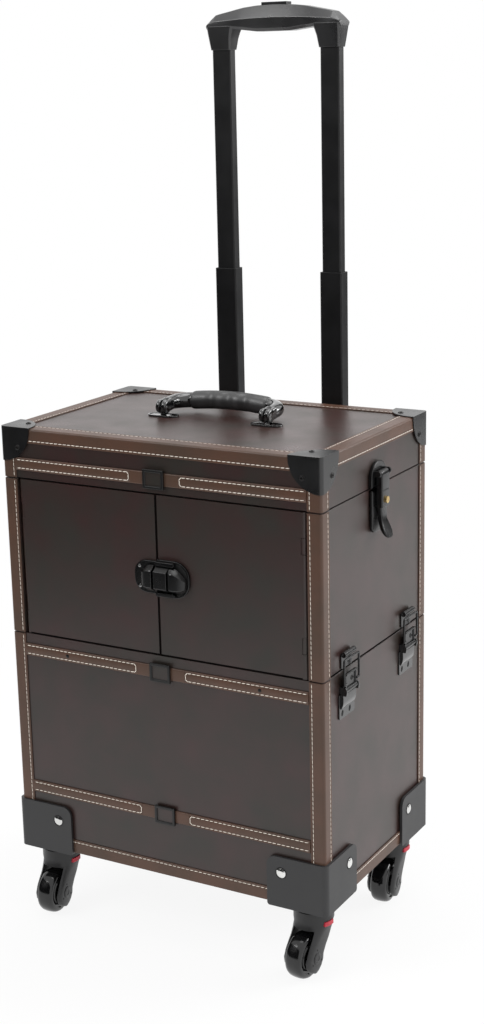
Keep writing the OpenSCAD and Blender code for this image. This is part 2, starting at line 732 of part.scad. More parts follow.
// lid latch on the right side: plate with the lever pin on the lid, base on the upper box
module on_right(t) translate([side, 0, 0]) rotate([90, 0, 90]) linear_extrude(t) children();
module lid_latch_plate() piece(black) {
  on_right(lid_plate_t) intersection() {
    translate([0, lid_z + lid_plate_h - lid_plate_w / 2]) circle(lid_plate_w / 2);
    translate([-lid_plate_w / 2, lid_z + 1]) square([lid_plate_w, lid_plate_h]);
  }
  both_y() translate([side, lid_lever_w / 2 + free, lid_pin - 2.6]) cube([lid_lever_x - side, 2.5, 5.2]);
  both_y() rod_y(lid_lever_x, lid_lever_w / 2 + free + 1.25, lid_pin, 2.6, 2.5);
  rod_y(lid_lever_x, 0, lid_pin, lever_pin_r, lid_lever_w + 2 * free + 2);
}
module lid_latch_base() piece(black) on_right(lid_plate_t) translate([0, upper_top - 1]) polygon([
  [-lid_base_w / 2, 0], [-lid_base_w / 2, 5 - lid_base_h], [5 - lid_base_w / 2, -lid_base_h],
  [lid_base_w / 2 - 5, -lid_base_h], [lid_base_w / 2, 5 - lid_base_h], [lid_base_w / 2, 0]]);
module lid_latch_lever() piece(black) difference() {
  back = lid_lever_x - lid_lever_t / 2;
  low = lid_pin - lid_lever_l;
  union() {
    rod_y(lid_lever_x, 0, lid_pin, lid_lever_t / 2, lid_lever_w);
    translate([back, -lid_lever_w / 2, low]) cube([lid_lever_t, lid_lever_w, lid_lever_l]);
    translate([0, 8, 0]) rotate([90, 0, 0]) linear_extrude(16) polygon([[back, low + 0.5],
      [back + lid_lever_t, low + 0.5], [back + lid_lever_t + 1, low - tab_l * 0.5],
      [back + lid_lever_t + 5, low - tab_l], [back + lid_lever_t + 2, low - tab_l],
      [back + 2, low - tab_l * 0.5]]);
  }
  rod_y(lid_lever_x, 0, lid_pin, lever_pin_r + run, lid_lever_w + 2);
  rod_x(lid_lever_x, 0, lid_pin - plug_z, plug_r + run, 3 * lid_lever_t);
}
module lock_plug() piece(brass) difference() {
  rod_x(lid_lever_x - lid_lever_t / 2 + plug_l / 2, 0, lid_pin - plug_z, plug_r, plug_l);
  translate([lid_lever_x - lid_lever_t / 2 + plug_l - 1, -0.5, lid_pin - plug_z - 2]) cube([2, 1, 4]);
}

// lid hinge along the left side: knuckles of the two leaves take turns on one pin
module hinge_rods(r, grow, odd) for (i = [0 : 4]) if (i % 2 == odd)
  rod_y(hinge_x, (i - 2) * hinge_l / 5, hinge_z, r, hinge_l / 5 - free + grow);
module lid_hinge_case_leaf() piece(black) {
  difference() {
    union() {
      translate([-side - leaf_t, -hinge_l / 2, upper_top - leaf_h]) cube([leaf_t, hinge_l, leaf_h]);
      hinge_rods(knuckle_r, 0, 0);
    }
    hinge_rods(knuckle_r + free, 2 * free, 1);
  }
  rod_y(hinge_x, 0, hinge_z, hinge_pin_r, hinge_l - 2);
}
module lid_hinge_lid_leaf() piece(black) difference() {
  union() {
    translate([-side - leaf_t, -hinge_l / 2, lid_z]) cube([leaf_t, hinge_l, leaf_h]);
    hinge_rods(knuckle_r, 0, 1);
  }
  hinge_rods(knuckle_r + free, 2 * free, 0);
  rod_y(hinge_x, 0, hinge_z, bore, hinge_l + 2);
}

// lid
module lid_top_panel() piece(leather) hull_block(0, lid_top - trim_t - board_t, board_t);
module lid_boards() piece(leather) {
  tall = lid_h - trim_t - board_t;
  both_y() front_board(lid_z, tall);
  both_x() side_board(lid_z, tall);
}
module lid_trim() piece(brown) {
  corner_trim(lid_z, lid_h - edge_h);
  difference() {
    hull_block(trim_t, lid_top - edge_h, edge_h);
    hull_block(0, lid_top - edge_h - 1, edge_h + 1 - trim_t);
    translate([0, 0, lid_top - edge_h]) linear_extrude(edge_h + 1)
      outline(case_w - 2 * edge_w, case_d - 2 * edge_w, 2);
  }
}
module lid_strap() piece(brown) strap(lid_z + lid_strap_z);
module lid_strap_loop() piece(black) strap_loop(lid_z + lid_strap_z);

// three sided corner caps with a round lobe on each face
module lobe(r) {
  translate([-9, -9]) square([cap_r - r + 9, cap_r + 9]);
  translate([-9, -9]) square([cap_r + 9, cap_r - r + 9]);
  translate([cap_r - r, cap_r - r]) circle(r);
}
module lobe_block() linear_extrude(3 * cap_r, center = true) lobe(min(lobe_r, cap_r));
module lid_corner_caps() piece(black) corners() intersection() {
  difference() {
    hull_block(trim_t + cap_t, lid_top - cap_r, cap_r + cap_t);
    hull_block(trim_t, lid_top - cap_r - 1, cap_r + 1);
    both_y() strap(lid_z + lid_strap_z);
  }
  translate([case_w / 2, case_d / 2, lid_top]) intersection() {
    mirror([1, 0, 0]) mirror([0, 1, 0]) lobe_block();
    rotate([90, 0, 0]) mirror([1, 0, 0]) mirror([0, 1, 0]) lobe_block();
    rotate([90, 0, 90]) mirror([1, 0, 0]) mirror([0, 1, 0]) lobe_block();
  }
}
module rivet() cylinder(r1 = rivet_r, r2 = rivet_r * 0.6, h = rivet_h);
module cap_rivets() piece(black) corners() {
  translate([case_w / 2 - rivet_in, case_d / 2 - rivet_in, lid_top + cap_t]) rivet();
  translate([case_w / 2 - rivet_in, case_d / 2 + cap_t, lid_top - rivet_in]) rotate([-90, 0, 0]) rivet();
  translate([case_w / 2 + cap_t, case_d / 2 - rivet_in, lid_top - rivet_in]) rotate([0, 90, 0]) rivet();
}

// carry handle: two posts with a tab and a pin on the lid, two bent arms whose forked ends sit over the
// tabs, and a rubber grip
module handle_posts() piece(black) both_x() translate([post_x, -post_y, lid_top - trim_t]) {
  linear_extrude(foot_t) {
    for (s = [-1, 1]) translate([s * (foot_l - foot_w) / 2, 0]) circle(foot_w / 2);
    square([foot_l - foot_w, foot_w], center = true);
  }
  translate([-post_t / 2, -5, 0]) cube([post_t, 10, pivot_up + trim_t]);
  rod_x(0, 0, pivot_up + trim_t, 5, post_t);
  rod_x(0, 0, pivot_up + trim_t, handle_pin_r, lug_w - 1);
}
module handle_frame() translate([0, -post_y, pivot_z]) rotate([fold, 0, 0]) children();
module handle_arms() piece(black) handle_frame() both_x() difference() {
  union() {
    rod_x(post_x, 0, 0, lug_r, lug_w);
    rod_y(post_x, arm_start / 2, 0, arm_r, arm_start);
    translate([grip_half, arm_start - 0.01, 0]) rotate_extrude(angle = 90)
      translate([arm_bend, 0]) circle(arm_r);
  }
  rod_x(post_x, 0, 0, handle_pin_r + run, 2 * lug_w);
  rod_x(post_x, 0, 0, lug_r + 1.5, post_t + 2 * free);
}
module handle_grip() piece(black) handle_frame() translate([0, arm_start + arm_bend - 0.01, 0])
  rotate([0, 90, 0]) rotate_extrude() polygon(concat([[0, -grip_half], [rubber_r - 2, -grip_half]],
    [for (i = [0 : 24]) [rubber_r - wave / 2 - wave / 2 * cos(i * 60), (i / 12 - 1) * (grip_half - 2)]],
    [[rubber_r - 2, grip_half], [0, grip_half]]));

lower_front_panel();
lower_back_panel();
lower_side_panels();
lower_floor();
lower_trim();
lower_straps();
lower_strap_loops();
wheel_brackets();
bracket_bolts();
draw_latch_bases();
trolley_outer_tubes();
trolley_mounts();
upper_back_panel();
upper_side_panels();
upper_front_posts();
upper_floor();
upper_trim();
door_hinges();
draw_latch_hooks();
lid_latch_base();
lid_hinge_case_leaf();
lid_top_panel();
lid_boards();
lid_trim();
lid_strap();
lid_strap_loop();
lid_corner_caps();
cap_rivets();
lid_latch_plate();
handle_posts();
lid_hinge_lid_leaf();
handle_arms();
handle_grip();
left_door();
door_latch_strike();
right_door();
door_latch_base();
door_latch_lever();
lid_latch_lever();
lock_plug();
draw_lever_front_left();
draw_lever_front_right();
draw_lever_back_left();
draw_lever_back_right();
trolley_middle_tubes();
trolley_inner_tubes();
trolley_grip();
trolley_button();
fork_front_left();
fork_front_right();
fork_back_left();
fork_back_right();
wheel_front_left();
wheel_front_right();
wheel_back_left();
wheel_back_right();
tab_front_left();
tab_front_right();
tab_back_left();
tab_back_right();
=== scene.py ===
"""A rolling makeup case: two leather covered boxes and a lid on four casters, with a telescopic trolley.

Pieces are drawn in millimetres around the middle of the case, and are set into the shared frame
when they are made.
"""

from math import copysign, cos, exp, pi, radians, sin

import bmesh
import bpy
from mathutils import Matrix, Vector


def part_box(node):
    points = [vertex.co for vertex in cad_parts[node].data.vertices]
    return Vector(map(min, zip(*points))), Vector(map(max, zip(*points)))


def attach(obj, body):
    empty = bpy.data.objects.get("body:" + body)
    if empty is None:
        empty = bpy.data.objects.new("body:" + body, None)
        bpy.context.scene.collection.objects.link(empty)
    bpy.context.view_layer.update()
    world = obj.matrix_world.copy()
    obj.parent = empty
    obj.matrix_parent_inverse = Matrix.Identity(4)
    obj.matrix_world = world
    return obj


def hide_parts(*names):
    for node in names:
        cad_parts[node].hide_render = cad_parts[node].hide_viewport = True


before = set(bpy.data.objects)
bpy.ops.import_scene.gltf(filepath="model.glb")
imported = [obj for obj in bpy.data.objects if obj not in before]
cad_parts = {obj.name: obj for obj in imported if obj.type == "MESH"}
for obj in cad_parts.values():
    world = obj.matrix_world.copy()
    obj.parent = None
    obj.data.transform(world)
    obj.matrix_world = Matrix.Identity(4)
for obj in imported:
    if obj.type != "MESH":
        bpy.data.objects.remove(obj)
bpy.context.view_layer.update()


# View
# The camera stands right of the front and a little above it, as the photographer's did.
# Its place was fitted to the corners of the case.

scene = bpy.context.scene
scene.view_settings.view_transform = "Standard"
turn, tilt, roll = radians(29.8), radians(14.6), radians(-1.3)
back = Vector((sin(turn) * cos(tilt), -cos(turn) * cos(tilt), sin(tilt)))
right = Vector((cos(turn), sin(turn), 0))
up = back.cross(right)
cam_x = right * cos(roll) + up * sin(roll)
cam_y = up * cos(roll) - right * sin(roll)
camera = bpy.data.objects.new("camera", bpy.data.cameras.new("camera"))
camera.data.lens = 59.57
camera.data.sensor_width = 36
camera.data.clip_start = 0.05
camera.matrix_world = Matrix((cam_x, cam_y, back)).transposed().to_4x4()
camera.matrix_world.translation = (0.87795, -1.50144, 0.8954)
scene.collection.objects.link(camera)
scene.camera = camera


# Studio
# A pale floor that runs out to white in a white room, three large soft lamps, and two dark cloths
# that stand outside the picture and show only as reflections in the upper half of the case.

def node_maker(tree):
    """Returns a function that adds a node to a tree, its settings and free sockets given by name."""
    def node(kind, **values):
        made = tree.nodes.new(kind)
        for key, value in values.items():
            if hasattr(made, key):
                setattr(made, key, value)
            else:
                made.inputs[key.replace("_", " ")].default_value = value
        return made
    return node


def shader(name, kind="materials"):
    """A new material or world with an empty node tree; returns it with a maker and a linker."""
    block = getattr(bpy.data, kind).new(name)
    block.use_nodes = True
    tree = block.node_tree
    tree.nodes.clear()
    return block, node_maker(tree), tree.links.new


def seen_rays(node, link):
    """1 for rays from the camera, from gloss and through glass, 0 for rays that carry light."""
    rays = node("ShaderNodeLightPath")
    some = node("ShaderNodeMath", operation="ADD")
    every = node("ShaderNodeMath", operation="ADD", use_clamp=True)
    link(rays.outputs["Is Camera Ray"], some.inputs[0])
    link(rays.outputs["Is Glossy Ray"], some.inputs[1])
    link(some.outputs[0], every.inputs[0])
    link(rays.outputs["Is Transmission Ray"], every.inputs[1])
    return every.outputs[0]


world, node, link = shader("studio_room", "worlds")
scene.world = world
dim = node("ShaderNodeBackground", Color=(1, 1, 1, 1), Strength=0.62)
white = node("ShaderNodeBackground", Color=(1, 1, 1, 1), Strength=1.0)
room = node("ShaderNodeMixShader")
out = node("ShaderNodeOutputWorld")
link(seen_rays(node, link), room.inputs[0])
link(dim.outputs[0], room.inputs[1])
link(white.outputs[0], room.inputs[2])
link(room.outputs[0], out.inputs[0])

floor_paint, node, link = shader("studio_floor")
place = node("ShaderNodeTexCoord")
reach = node("ShaderNodeVectorMath", operation="LENGTH")
fade = node("ShaderNodeMapRange", interpolation_type="SMOOTHSTEP", From_Min=0.3, From_Max=0.95,
            To_Min=0.9, To_Max=1.0)
share = node("ShaderNodeMath", operation="MULTIPLY")
matt = node("ShaderNodeBsdfDiffuse", Color=(0.93, 0.93, 0.93, 1))
glow = node("ShaderNodeEmission", Color=(1, 1, 1, 1), Strength=1.0)
far = node("ShaderNodeMixShader")
out = node("ShaderNodeOutputMaterial")
link(place.outputs["Object"], reach.inputs[0])
link(reach.outputs["Value"], fade.inputs["Value"])
link(fade.outputs[0], share.inputs[0])
link(seen_rays(node, link), share.inputs[1])
link(share.outputs[0], far.inputs[0])
link(matt.outputs[0], far.inputs[1])
link(glow.outputs[0], far.inputs[2])
link(far.outputs[0], out.inputs[0])


def stage_sheet(name, paint, bm):
    """A floor or cloth of the studio, which is no part of the case."""
    mesh = bpy.data.meshes.new(name)
    bm.to_mesh(mesh)
    bm.free()
    mesh.materials.append(paint)
    sheet = bpy.data.objects.new(name, mesh)
    scene.collection.objects.link(sheet)
    return sheet


bm = bmesh.new()
bmesh.ops.create_circle(bm, cap_ends=True, segments=96, radius=14)
stage_sheet("floor", floor_paint, bm)

dark_cloth, node, link = shader("dark_cloth")
matt = node("ShaderNodeBsdfDiffuse", Color=(0.01, 0.01, 0.01, 1))
out = node("ShaderNodeOutputMaterial")
link(matt.outputs[0], out.inputs[0])
# stands a flat drawing upright, so that it faces the front
FRONT = Matrix(((1, 0, 0, 0), (0, 0, -1, 0), (0, 1, 0, 0), (0, 0, 0, 1)))
CLOTH_TURN = Matrix.Rotation(radians(-30), 4, "Z")
for name, way, gap, low, wide, tall in (("cloth_front", -1, 1.05, 0.045, 1.7, 0.60),
                                        ("cloth_back", 1, 1.95, 0.16, 1.9, 0.40)):
    bm = bmesh.new()
    bmesh.ops.create_grid(bm, x_segments=1, y_segments=1, size=1)
    stand = Matrix.Translation((way * 0.5 * gap, way * 0.87 * gap, low + tall)) @ CLOTH_TURN @ FRONT
    bmesh.ops.transform(bm, verts=bm.verts[:], matrix=stand @ Matrix.Diagonal((wide, tall, 1, 1)))
    cloth = stage_sheet(name, dark_cloth, bm)
    cloth.visible_camera = False
    cloth.visible_diffuse = False
    cloth.visible_shadow = False
    cloth.visible_transmission = False

for name, spot, size, power in (("key", (-1.5, -2.0, 2.2), 1.6, 34),
                                ("side", (2.0, 1.6, 1.2), 1.6, 50),
                                ("sky", (0.1, 0.5, 2.9), 2.0, 26)):
    lamp = bpy.data.lights.new(name, "AREA")
    lamp.shape = "DISK"
    lamp.size = size
    lamp.energy = power
    light = bpy.data.objects.new(name, lamp)
    light.location = spot
    aim = Vector((0, 0, 0.45)) - light.location
    light.rotation_euler = aim.to_track_quat("-Z", "Y").to_euler()
    scene.collection.objects.link(light)


# Covered boards
# The boxes, doors and lid are boards covered with very dark brown imitation leather, turned in at
# the edges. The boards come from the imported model; here they get their hide and softened edges.

MM = 0.001


def srgb(r, g, b):
    """A colour as it is seen on screen, 0 to 255."""
    parts = [((c / 255 + 0.055) / 1.055) ** 2.4 if c > 10 else c / 255 / 12.92 for c in (r, g, b)]
    return (*parts, 1.0)


def grain_group(name):
    """A new node group, into which a place and a size go, and out of which a height and a tone come."""
    tree = bpy.data.node_groups.new(name, "ShaderNodeTree")
    for way, key, kind in (("INPUT", "Vector", "Vector"), ("INPUT", "Size", "Float"),
                           ("OUTPUT", "Height", "Float"), ("OUTPUT", "Tone", "Float")):
        tree.interface.new_socket(key, in_out=way, socket_type="NodeSocket" + kind)
    given, result = tree.nodes.new("NodeGroupInput"), tree.nodes.new("NodeGroupOutput")
    return tree, node_maker(tree), tree.links.new, given, result


# pebbled hide: cells with soft creases, a fine tooth on top, and slow changes of tone
hide_grain, node, link, given, result = grain_group("hide_grain")
warp = node("ShaderNodeTexNoise", Scale=160)
bend = node("ShaderNodeVectorMath", operation="MULTIPLY_ADD")
bend.inputs[1].default_value = (0.0016, 0.0016, 0.0016)
cells = node("ShaderNodeTexVoronoi", feature="DISTANCE_TO_EDGE")
pebble = node("ShaderNodeMapRange", interpolation_type="SMOOTHSTEP", From_Max=0.22)
tooth = node("ShaderNodeTexNoise", Scale=2600)
blend = node("ShaderNodeMix")
blend.inputs[0].default_value = 0.3
tone = node("ShaderNodeTexNoise", Scale=26, Detail=2)
link(given.outputs["Vector"], warp.inputs["Vector"])
link(warp.outputs["Color"], bend.inputs[0])
link(given.outputs["Vector"], bend.inputs[2])
link(bend.outputs[0], cells.inputs["Vector"])
link(given.outputs["Size"], cells.inputs["Scale"])
link(cells.outputs["Distance"], pebble.inputs["Value"])
link(given.outputs["Vector"], tooth.inputs["Vector"])
link(pebble.outputs[0], blend.inputs[2])
link(tooth.outputs[0], blend.inputs[3])
link(blend.outputs[0], result.inputs["Height"])
link(given.outputs["Vector"], tone.inputs["Vector"])
link(tone.outputs[0], result.inputs["Tone"])


def grained(name, group, size, tones, spread, gloss, relief, deep, **skin_values):
    """A finish in two tones, whose mix, gloss and relief follow a grain.

    spread is the range of the grain's tone over which the two tones mix. gloss is the range over
    which the finish dulls, followed by its least and its most roughness.
    """
    block, node, link = shader(name)
    place = node("ShaderNodeTexCoord")
    grain = node("ShaderNodeGroup", node_tree=group, Size=size)
    share = node("ShaderNodeMapRange", From_Min=spread[0], From_Max=spread[1])
    mix = node("ShaderNodeMix", data_type="RGBA")
    mix.inputs[6].default_value, mix.inputs[7].default_value = tones
    dull = node("ShaderNodeMapRange", From_Min=gloss[0], From_Max=gloss[1], To_Min=gloss[2], To_Max=gloss[3])
    bump = node("ShaderNodeBump", Strength=relief, Distance=deep)
    skin = node("ShaderNodeBsdfPrincipled", **skin_values)
    out = node("ShaderNodeOutputMaterial")
    link(place.outputs["Object"], grain.inputs["Vector"])
    link(grain.outputs["Tone"], share.inputs["Value"])
    link(share.outputs[0], mix.inputs[0])
    link(mix.outputs[2], skin.inputs["Base Color"])
    link(grain.outputs["Tone"], dull.inputs["Value"])
    link(dull.outputs[0], skin.inputs["Roughness"])
    link(grain.outputs["Height"], bump.inputs["Height"])
    link(bump.outputs[0], skin.inputs["Normal"])
    link(skin.outputs[0], out.inputs[0])
    return block


def leather(name, colour, worn, rough, shine, cells=1150, relief=0.10):
    """Imitation leather: two tones of one colour, pebbled, with a soft uneven sheen."""
    gloss = (0.1, 0.9, rough - 0.06, rough + 0.07)
    return grained(name, hide_grain, cells, (colour, worn), (0.1, 0.9), gloss, relief, 0.0004,
                   Specular_IOR_Level=shine, Sheen_Weight=0.1, Sheen_Roughness=0.35,
                   Sheen_Tint=srgb(170, 110, 95))


dark_hide = leather("dark_brown_hide", srgb(57, 34, 34), srgb(34, 37, 31), 0.31, 0.58)
# a dull black for painted shade along the seams and in the gap between the doors
seam_shade_paint, node, link = shader("seam_shade_paint")
ink = node("ShaderNodeBsdfPrincipled", Base_Color=srgb(5, 4, 4), Roughness=0.9, Specular_IOR_Level=0.05)
out = node("ShaderNodeOutputMaterial")
link(ink.outputs[0], out.inputs[0])


def dress(name, finish, edge, rim=None):
    """Gives a carried over node its finish and soft edges; where a rim finish is given, the soft edges take
    it, as painted seam shade.
    """
    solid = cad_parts[name]
    for slot in solid.material_slots:
        slot.material = finish
    weld = solid.modifiers.new("weld", "WELD")
    weld.merge_threshold = 0.00001
    soft = solid.modifiers.new("soft_edges", "BEVEL")
    soft.width = edge * MM
    soft.segments = 3
    soft.limit_method = "ANGLE"
    soft.angle_limit = radians(35)
    soft.use_clamp_overlap = True
    if rim:
        soft.material = len(solid.data.materials)
        solid.data.materials.append(rim)
    solid.modifiers.new("shading", "WEIGHTED_NORMAL")


for name in ("lower_front_panel", "lower_back_panel", "lower_side_panels", "upper_back_panel",
             "upper_side_panels", "upper_front_posts", "lid_top_panel"):
    dress(name, dark_hide, 0.8)
# their soft edges are in the black of painted seam shade
for name in ("lid_boards", "left_door", "right_door"):
    dress(name, dark_hide, 0.8, seam_shade_paint)


# Lining
# Inside, each box has a floor board that is covered with a plain dark lining cloth.
# The cloth is glued down and turned in at the edges.

lining_cloth = leather("lining_cloth", srgb(40, 38, 38), srgb(34, 33, 33), 0.85, 0.2, cells=2200,
                       relief=0.25)
for name in ("lower_floor", "upper_floor"):
    dress(name, lining_cloth, 0.5)


# Corner and edge trims
# Strips of lighter brown leather wrap the upright corners, the rim of the lid and the bottom edge.
# They are glued on and sewn down near their edges with cream thread, which lies in a pressed groove.

side_low, side_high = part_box("lower_side_panels")
middle = (side_low + side_high) / 2
PLACE = Matrix.Translation((middle.x, middle.y, 0)) @ Matrix.Scale(MM, 4)
HALF_W = round((side_high.x - side_low.x) / 2 / MM, 2)
HALF_D = 120.3
# heights: the upper box and the lid are stacked on the lower box, with an open seam under each
SEAM = 0.6
UPPER_H = 168
LID_H = 51.8
BASE = round(side_low.z / MM, 2)
LOWER_TOP = round(side_high.z / MM, 2)
UPPER_BASE = LOWER_TOP + SEAM
UPPER_TOP = UPPER_BASE + UPPER_H
LID_BASE = UPPER_TOP + SEAM
LID_TOP = LID_BASE + LID_H
# stands a flat drawing upright, so that it faces right
RIGHT = Matrix(((0, 0, 1, 0), (1, 0, 0, 0), (0, 1, 0, 0), (0, 0, 0, 1)))
SIDEWAYS = Matrix.Rotation(pi / 2, 4, "Y")
HERE = Matrix.Identity(4)
FLIP_X = Matrix.Scale(-1, 4, (1, 0, 0))
FLIP_Y = Matrix.Scale(-1, 4, (0, 1, 0))
CORNERS = [HERE, FLIP_X, FLIP_Y, FLIP_X @ FLIP_Y]
SHARP = radians(38)


def shift(x, y, z):
    """A move in the units of the drawing."""
    return Matrix.Translation((x, y, z))


def put(bm, part, place):
    """Adds a finished part to a piece, in its place."""
    part.transform(place)
    mesh = bpy.data.meshes.new("part")
    part.to_mesh(mesh)
    part.free()
    bm.from_mesh(mesh)
    bpy.data.meshes.remove(mesh)


def plate(bm, place, corners, depth, rounds=(), steps=7):
    """A flat outline with some corners rounded, extruded to its depth."""
    part = bmesh.new()
    points = [part.verts.new((u, v, 0)) for u, v in corners]
    part.faces.new(points)
    for point, size in zip(points, rounds):
        if size:
            bmesh.ops.bevel(part, geom=[point], offset=size, segments=steps, profile=0.5, affect="VERTICES",
                            material=-1)
    grown = bmesh.ops.extrude_face_region(part, geom=part.faces[:])["geom"]
    raised = [g for g in grown if isinstance(g, bmesh.types.BMVert)]
    bmesh.ops.translate(part, verts=raised, vec=(0, 0, depth))
    put(bm, part, place)


def set_piece(name, bm, body, finish, nodes=(), edge=0.0, steps=2):
    """Turns a drawn piece into an object in the frame that rides on its body."""
    bmesh.ops.recalc_face_normals(bm, faces=bm.faces[:])
    bm.transform(PLACE)
    mesh = bpy.data.meshes.new(name)
    bm.to_mesh(mesh)
    bm.free()
    mesh.materials.append(finish)
    mesh.shade_smooth()
    piece = bpy.data.objects.new(name, mesh)
    scene.collection.objects.link(piece)
    if edge:
        soft = piece.modifiers.new("soft_edges", "BEVEL")
        soft.width = edge * MM
        soft.segments = steps
        soft.limit_method = "ANGLE"
        soft.angle_limit = SHARP
        soft.use_clamp_overlap = False
        soft.miter_outer = "MITER_ARC"
        piece.modifiers.new("shading", "WEIGHTED_NORMAL")
    else:
        mesh.set_sharp_from_angle(angle=SHARP)
    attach(piece, body)
    if nodes:
        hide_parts(*nodes)
    return piece


def along(side, start, height):
    """Where a cross section (out of the face, up) of a strip on one side of the case starts."""
    out, run, base = {"front": ((0, -1, 0), (1, 0, 0), (start, -HALF_D, height)),
                      "back": ((0, 1, 0), (1, 0, 0), (start, HALF_D, height)),
                      "right": ((1, 0, 0), (0, 1, 0), (HALF_W, start, height)),
                      "left": ((-1, 0, 0), (0, 1, 0), (-HALF_W, start, height))}[side]
    place = Matrix((out, (0, 0, 1), run)).transposed().to_4x4()
    place.translation = base
    return place


def sew(bm, start, end, out, pitch=5.3, length=4.5, thick=0.85):
    """A row of stitches from start to end on a face that looks out; every other one leans a little more."""
    out = Vector(out)
    run = end - start
    count = max(1, round(run.length / pitch))
    ahead = run.normalized()
    across = out.cross(ahead)
    shape = Matrix.Diagonal((length, thick, thick * 0.8, 1)) @ SIDEWAYS
    row = bmesh.new()
    for i in range(count):
        lean = (ahead + across * (0.07 if i % 2 else 0.03)).normalized()
        lay = Matrix((lean, out.cross(lean), out)).transposed().to_4x4()
        lay.translation = start + run * ((i + 0.5) / count)
        bmesh.ops.create_uvsphere(row, u_segments=6, v_segments=4, radius=0.5, matrix=lay @ shape)
    put(bm, row, HERE)


brown_hide = leather("brown_trim_hide", srgb(88, 58, 43), srgb(65, 49, 37), 0.40, 0.5)
thread, node, link = shader("cream_thread")
place = node("ShaderNodeTexCoord")
ply = node("ShaderNodeTexNoise", Scale=900.0, Detail=2.0)
mix = node("ShaderNodeMix", data_type="RGBA")
mix.inputs[6].default_value = srgb(228, 216, 200)
mix.inputs[7].default_value = srgb(252, 246, 236)
twist = node("ShaderNodeBump", Strength=0.5, Distance=0.0002)
yarn = node("ShaderNodeBsdfPrincipled", Roughness=0.7, Sheen_Weight=0.2)
out = node("ShaderNodeOutputMaterial")
link(place.outputs["Object"], ply.inputs["Vector"])
link(ply.outputs[0], mix.inputs[0])
link(mix.outputs[2], yarn.inputs["Base Color"])
link(ply.outputs[0], twist.inputs["Height"])
link(twist.outputs[0], yarn.inputs["Normal"])
link(yarn.outputs[0], out.inputs[0])

TRIM = 1.2
OUT_W = HALF_W + TRIM
OUT_D = HALF_D + TRIM
# the groove: its floor above the board, half its width, and the height at which the thread lies
GROOVE = 0.7
NOTCH = 0.7
THREAD = 0.95
# where the grooves of a corner run, on the front or back and on the sides
SEWN_X = 171.9
SEWN_Y = 108.4
CORNER = [(169, HALF_D), (169, OUT_D), (SEWN_X - NOTCH, OUT_D), (SEWN_X, HALF_D + GROOVE),
          (SEWN_X + NOTCH, OUT_D), (OUT_W, OUT_D), (OUT_W, SEWN_Y + NOTCH), (HALF_W + GROOVE, SEWN_Y),
          (OUT_W, SEWN_Y - NOTCH), (OUT_W, 105.5), (HALF_W, 105.5), (HALF_W, HALF_D)]
CORNER_ROUNDS = [0, 0.5, 0, 0, 0, 3.2, 0, 0, 0, 0.5, 0, 2]
# how far a corner trim stops short of a seam, and its stitches short of its end
SHORT = 0.5
TAIL = 1.5


def corner_trim(bm, threads, low, high):
    """Trims around all four corners between two heights, each sewn down near both edges."""
    for flip in CORNERS:
        plate(bm, flip @ shift(0, 0, low), CORNER, high - low, CORNER_ROUNDS)
        for x, y, out in ((SEWN_X, HALF_D + THREAD, (0, 1, 0)), (HALF_W + THREAD, SEWN_Y, (1, 0, 0))):
            sew(threads, flip @ Vector((x, y, low + TAIL)), flip @ Vector((x, y, high - TAIL)),
                flip.to_3x3() @ Vector(out), pitch=4.9, thick=0.72)


# lower box: corners and bottom edge
trim, threads = bmesh.new(), bmesh.new()
corner_trim(trim, threads, BASE, LOWER_TOP - SHORT)
HEM_SEWN = 12.3
HEM = [(0, 0), (TRIM, 0), (TRIM, HEM_SEWN - NOTCH), (GROOVE, HEM_SEWN), (TRIM, HEM_SEWN + NOTCH),
       (TRIM, 15), (0, 15)]
for side, reach, sewn in (("front", 168.6, 121), ("back", 168.6, 121), ("right", 105.2, 57),
                          ("left", 105.2, 57)):
    plate(trim, along(side, -reach, BASE), HEM, 2 * reach, [0, 0, 0, 0, 0, 0.5, 0])
    base = along(side, 0, BASE)
    sew(threads, base @ Vector((THREAD, HEM_SEWN, -sewn)), base @ Vector((THREAD, HEM_SEWN, sewn)),
        base.to_3x3() @ Vector((1, 0, 0)))
set_piece("lower_trim_leather", trim, "lower_case", brown_hide, ["lower_trim"], 0.25)
lower_threads = threads

# upper box: corners only
trim, threads = bmesh.new(), bmesh.new()
corner_trim(trim, threads, UPPER_BASE + SHORT, UPPER_TOP - SHORT)
set_piece("upper_trim_leather", trim, "upper_case", brown_hide, ["upper_trim"], 0.25)
set_piece("upper_stitching", threads, "upper_case", thread)

# lid: corners, and a rim that folds over the top edge
trim, threads = bmesh.new(), bmesh.new()
corner_trim(trim, threads, LID_BASE + SHORT, LID_TOP - 14.2)
FACE_SEWN = -11.3
TOP_SEWN = -14.1
RIM = [(0, -13.8), (TRIM, -13.8), (TRIM, FACE_SEWN - NOTCH), (GROOVE, FACE_SEWN), (TRIM, FACE_SEWN + NOTCH),
       (TRIM, TRIM), (TOP_SEWN + NOTCH, TRIM), (TOP_SEWN, GROOVE), (TOP_SEWN - NOTCH, TRIM), (-16.8, TRIM),
       (-16.8, 0), (0, 0)]
RIM_ROUNDS = [0, 0.5, 0, 0, 0, 2.4, 0, 0, 0, 0.5, 0, 0]
for side, reach, face, top in (("front", 174, 152, 154), ("back", 174, 152, 154), ("right", 102.8, 88, 90),
                               ("left", 102.8, 88, 90)):
    plate(trim, along(side, -reach, LID_TOP), RIM, 2 * reach, RIM_ROUNDS)
    base = along(side, 0, LID_TOP)
    sew(threads, base @ Vector((THREAD, FACE_SEWN, -face)), base @ Vector((THREAD, FACE_SEWN, face)),
        base.to_3x3() @ Vector((1, 0, 0)))
    sew(threads, base @ Vector((TOP_SEWN, THREAD, -top)), base @ Vector((TOP_SEWN, THREAD, top)), (0, 0, 1))
set_piece("lid_trim_leather", trim, "lid", brown_hide, ["lid_trim"], 0.25)
lid_threads = threads


# Front straps
# Three brown straps run across the front. Each is sewn down on both sides and plain in the middle,
# where it holds a black plastic loop; the upper one of the lower box also has two small rivets.

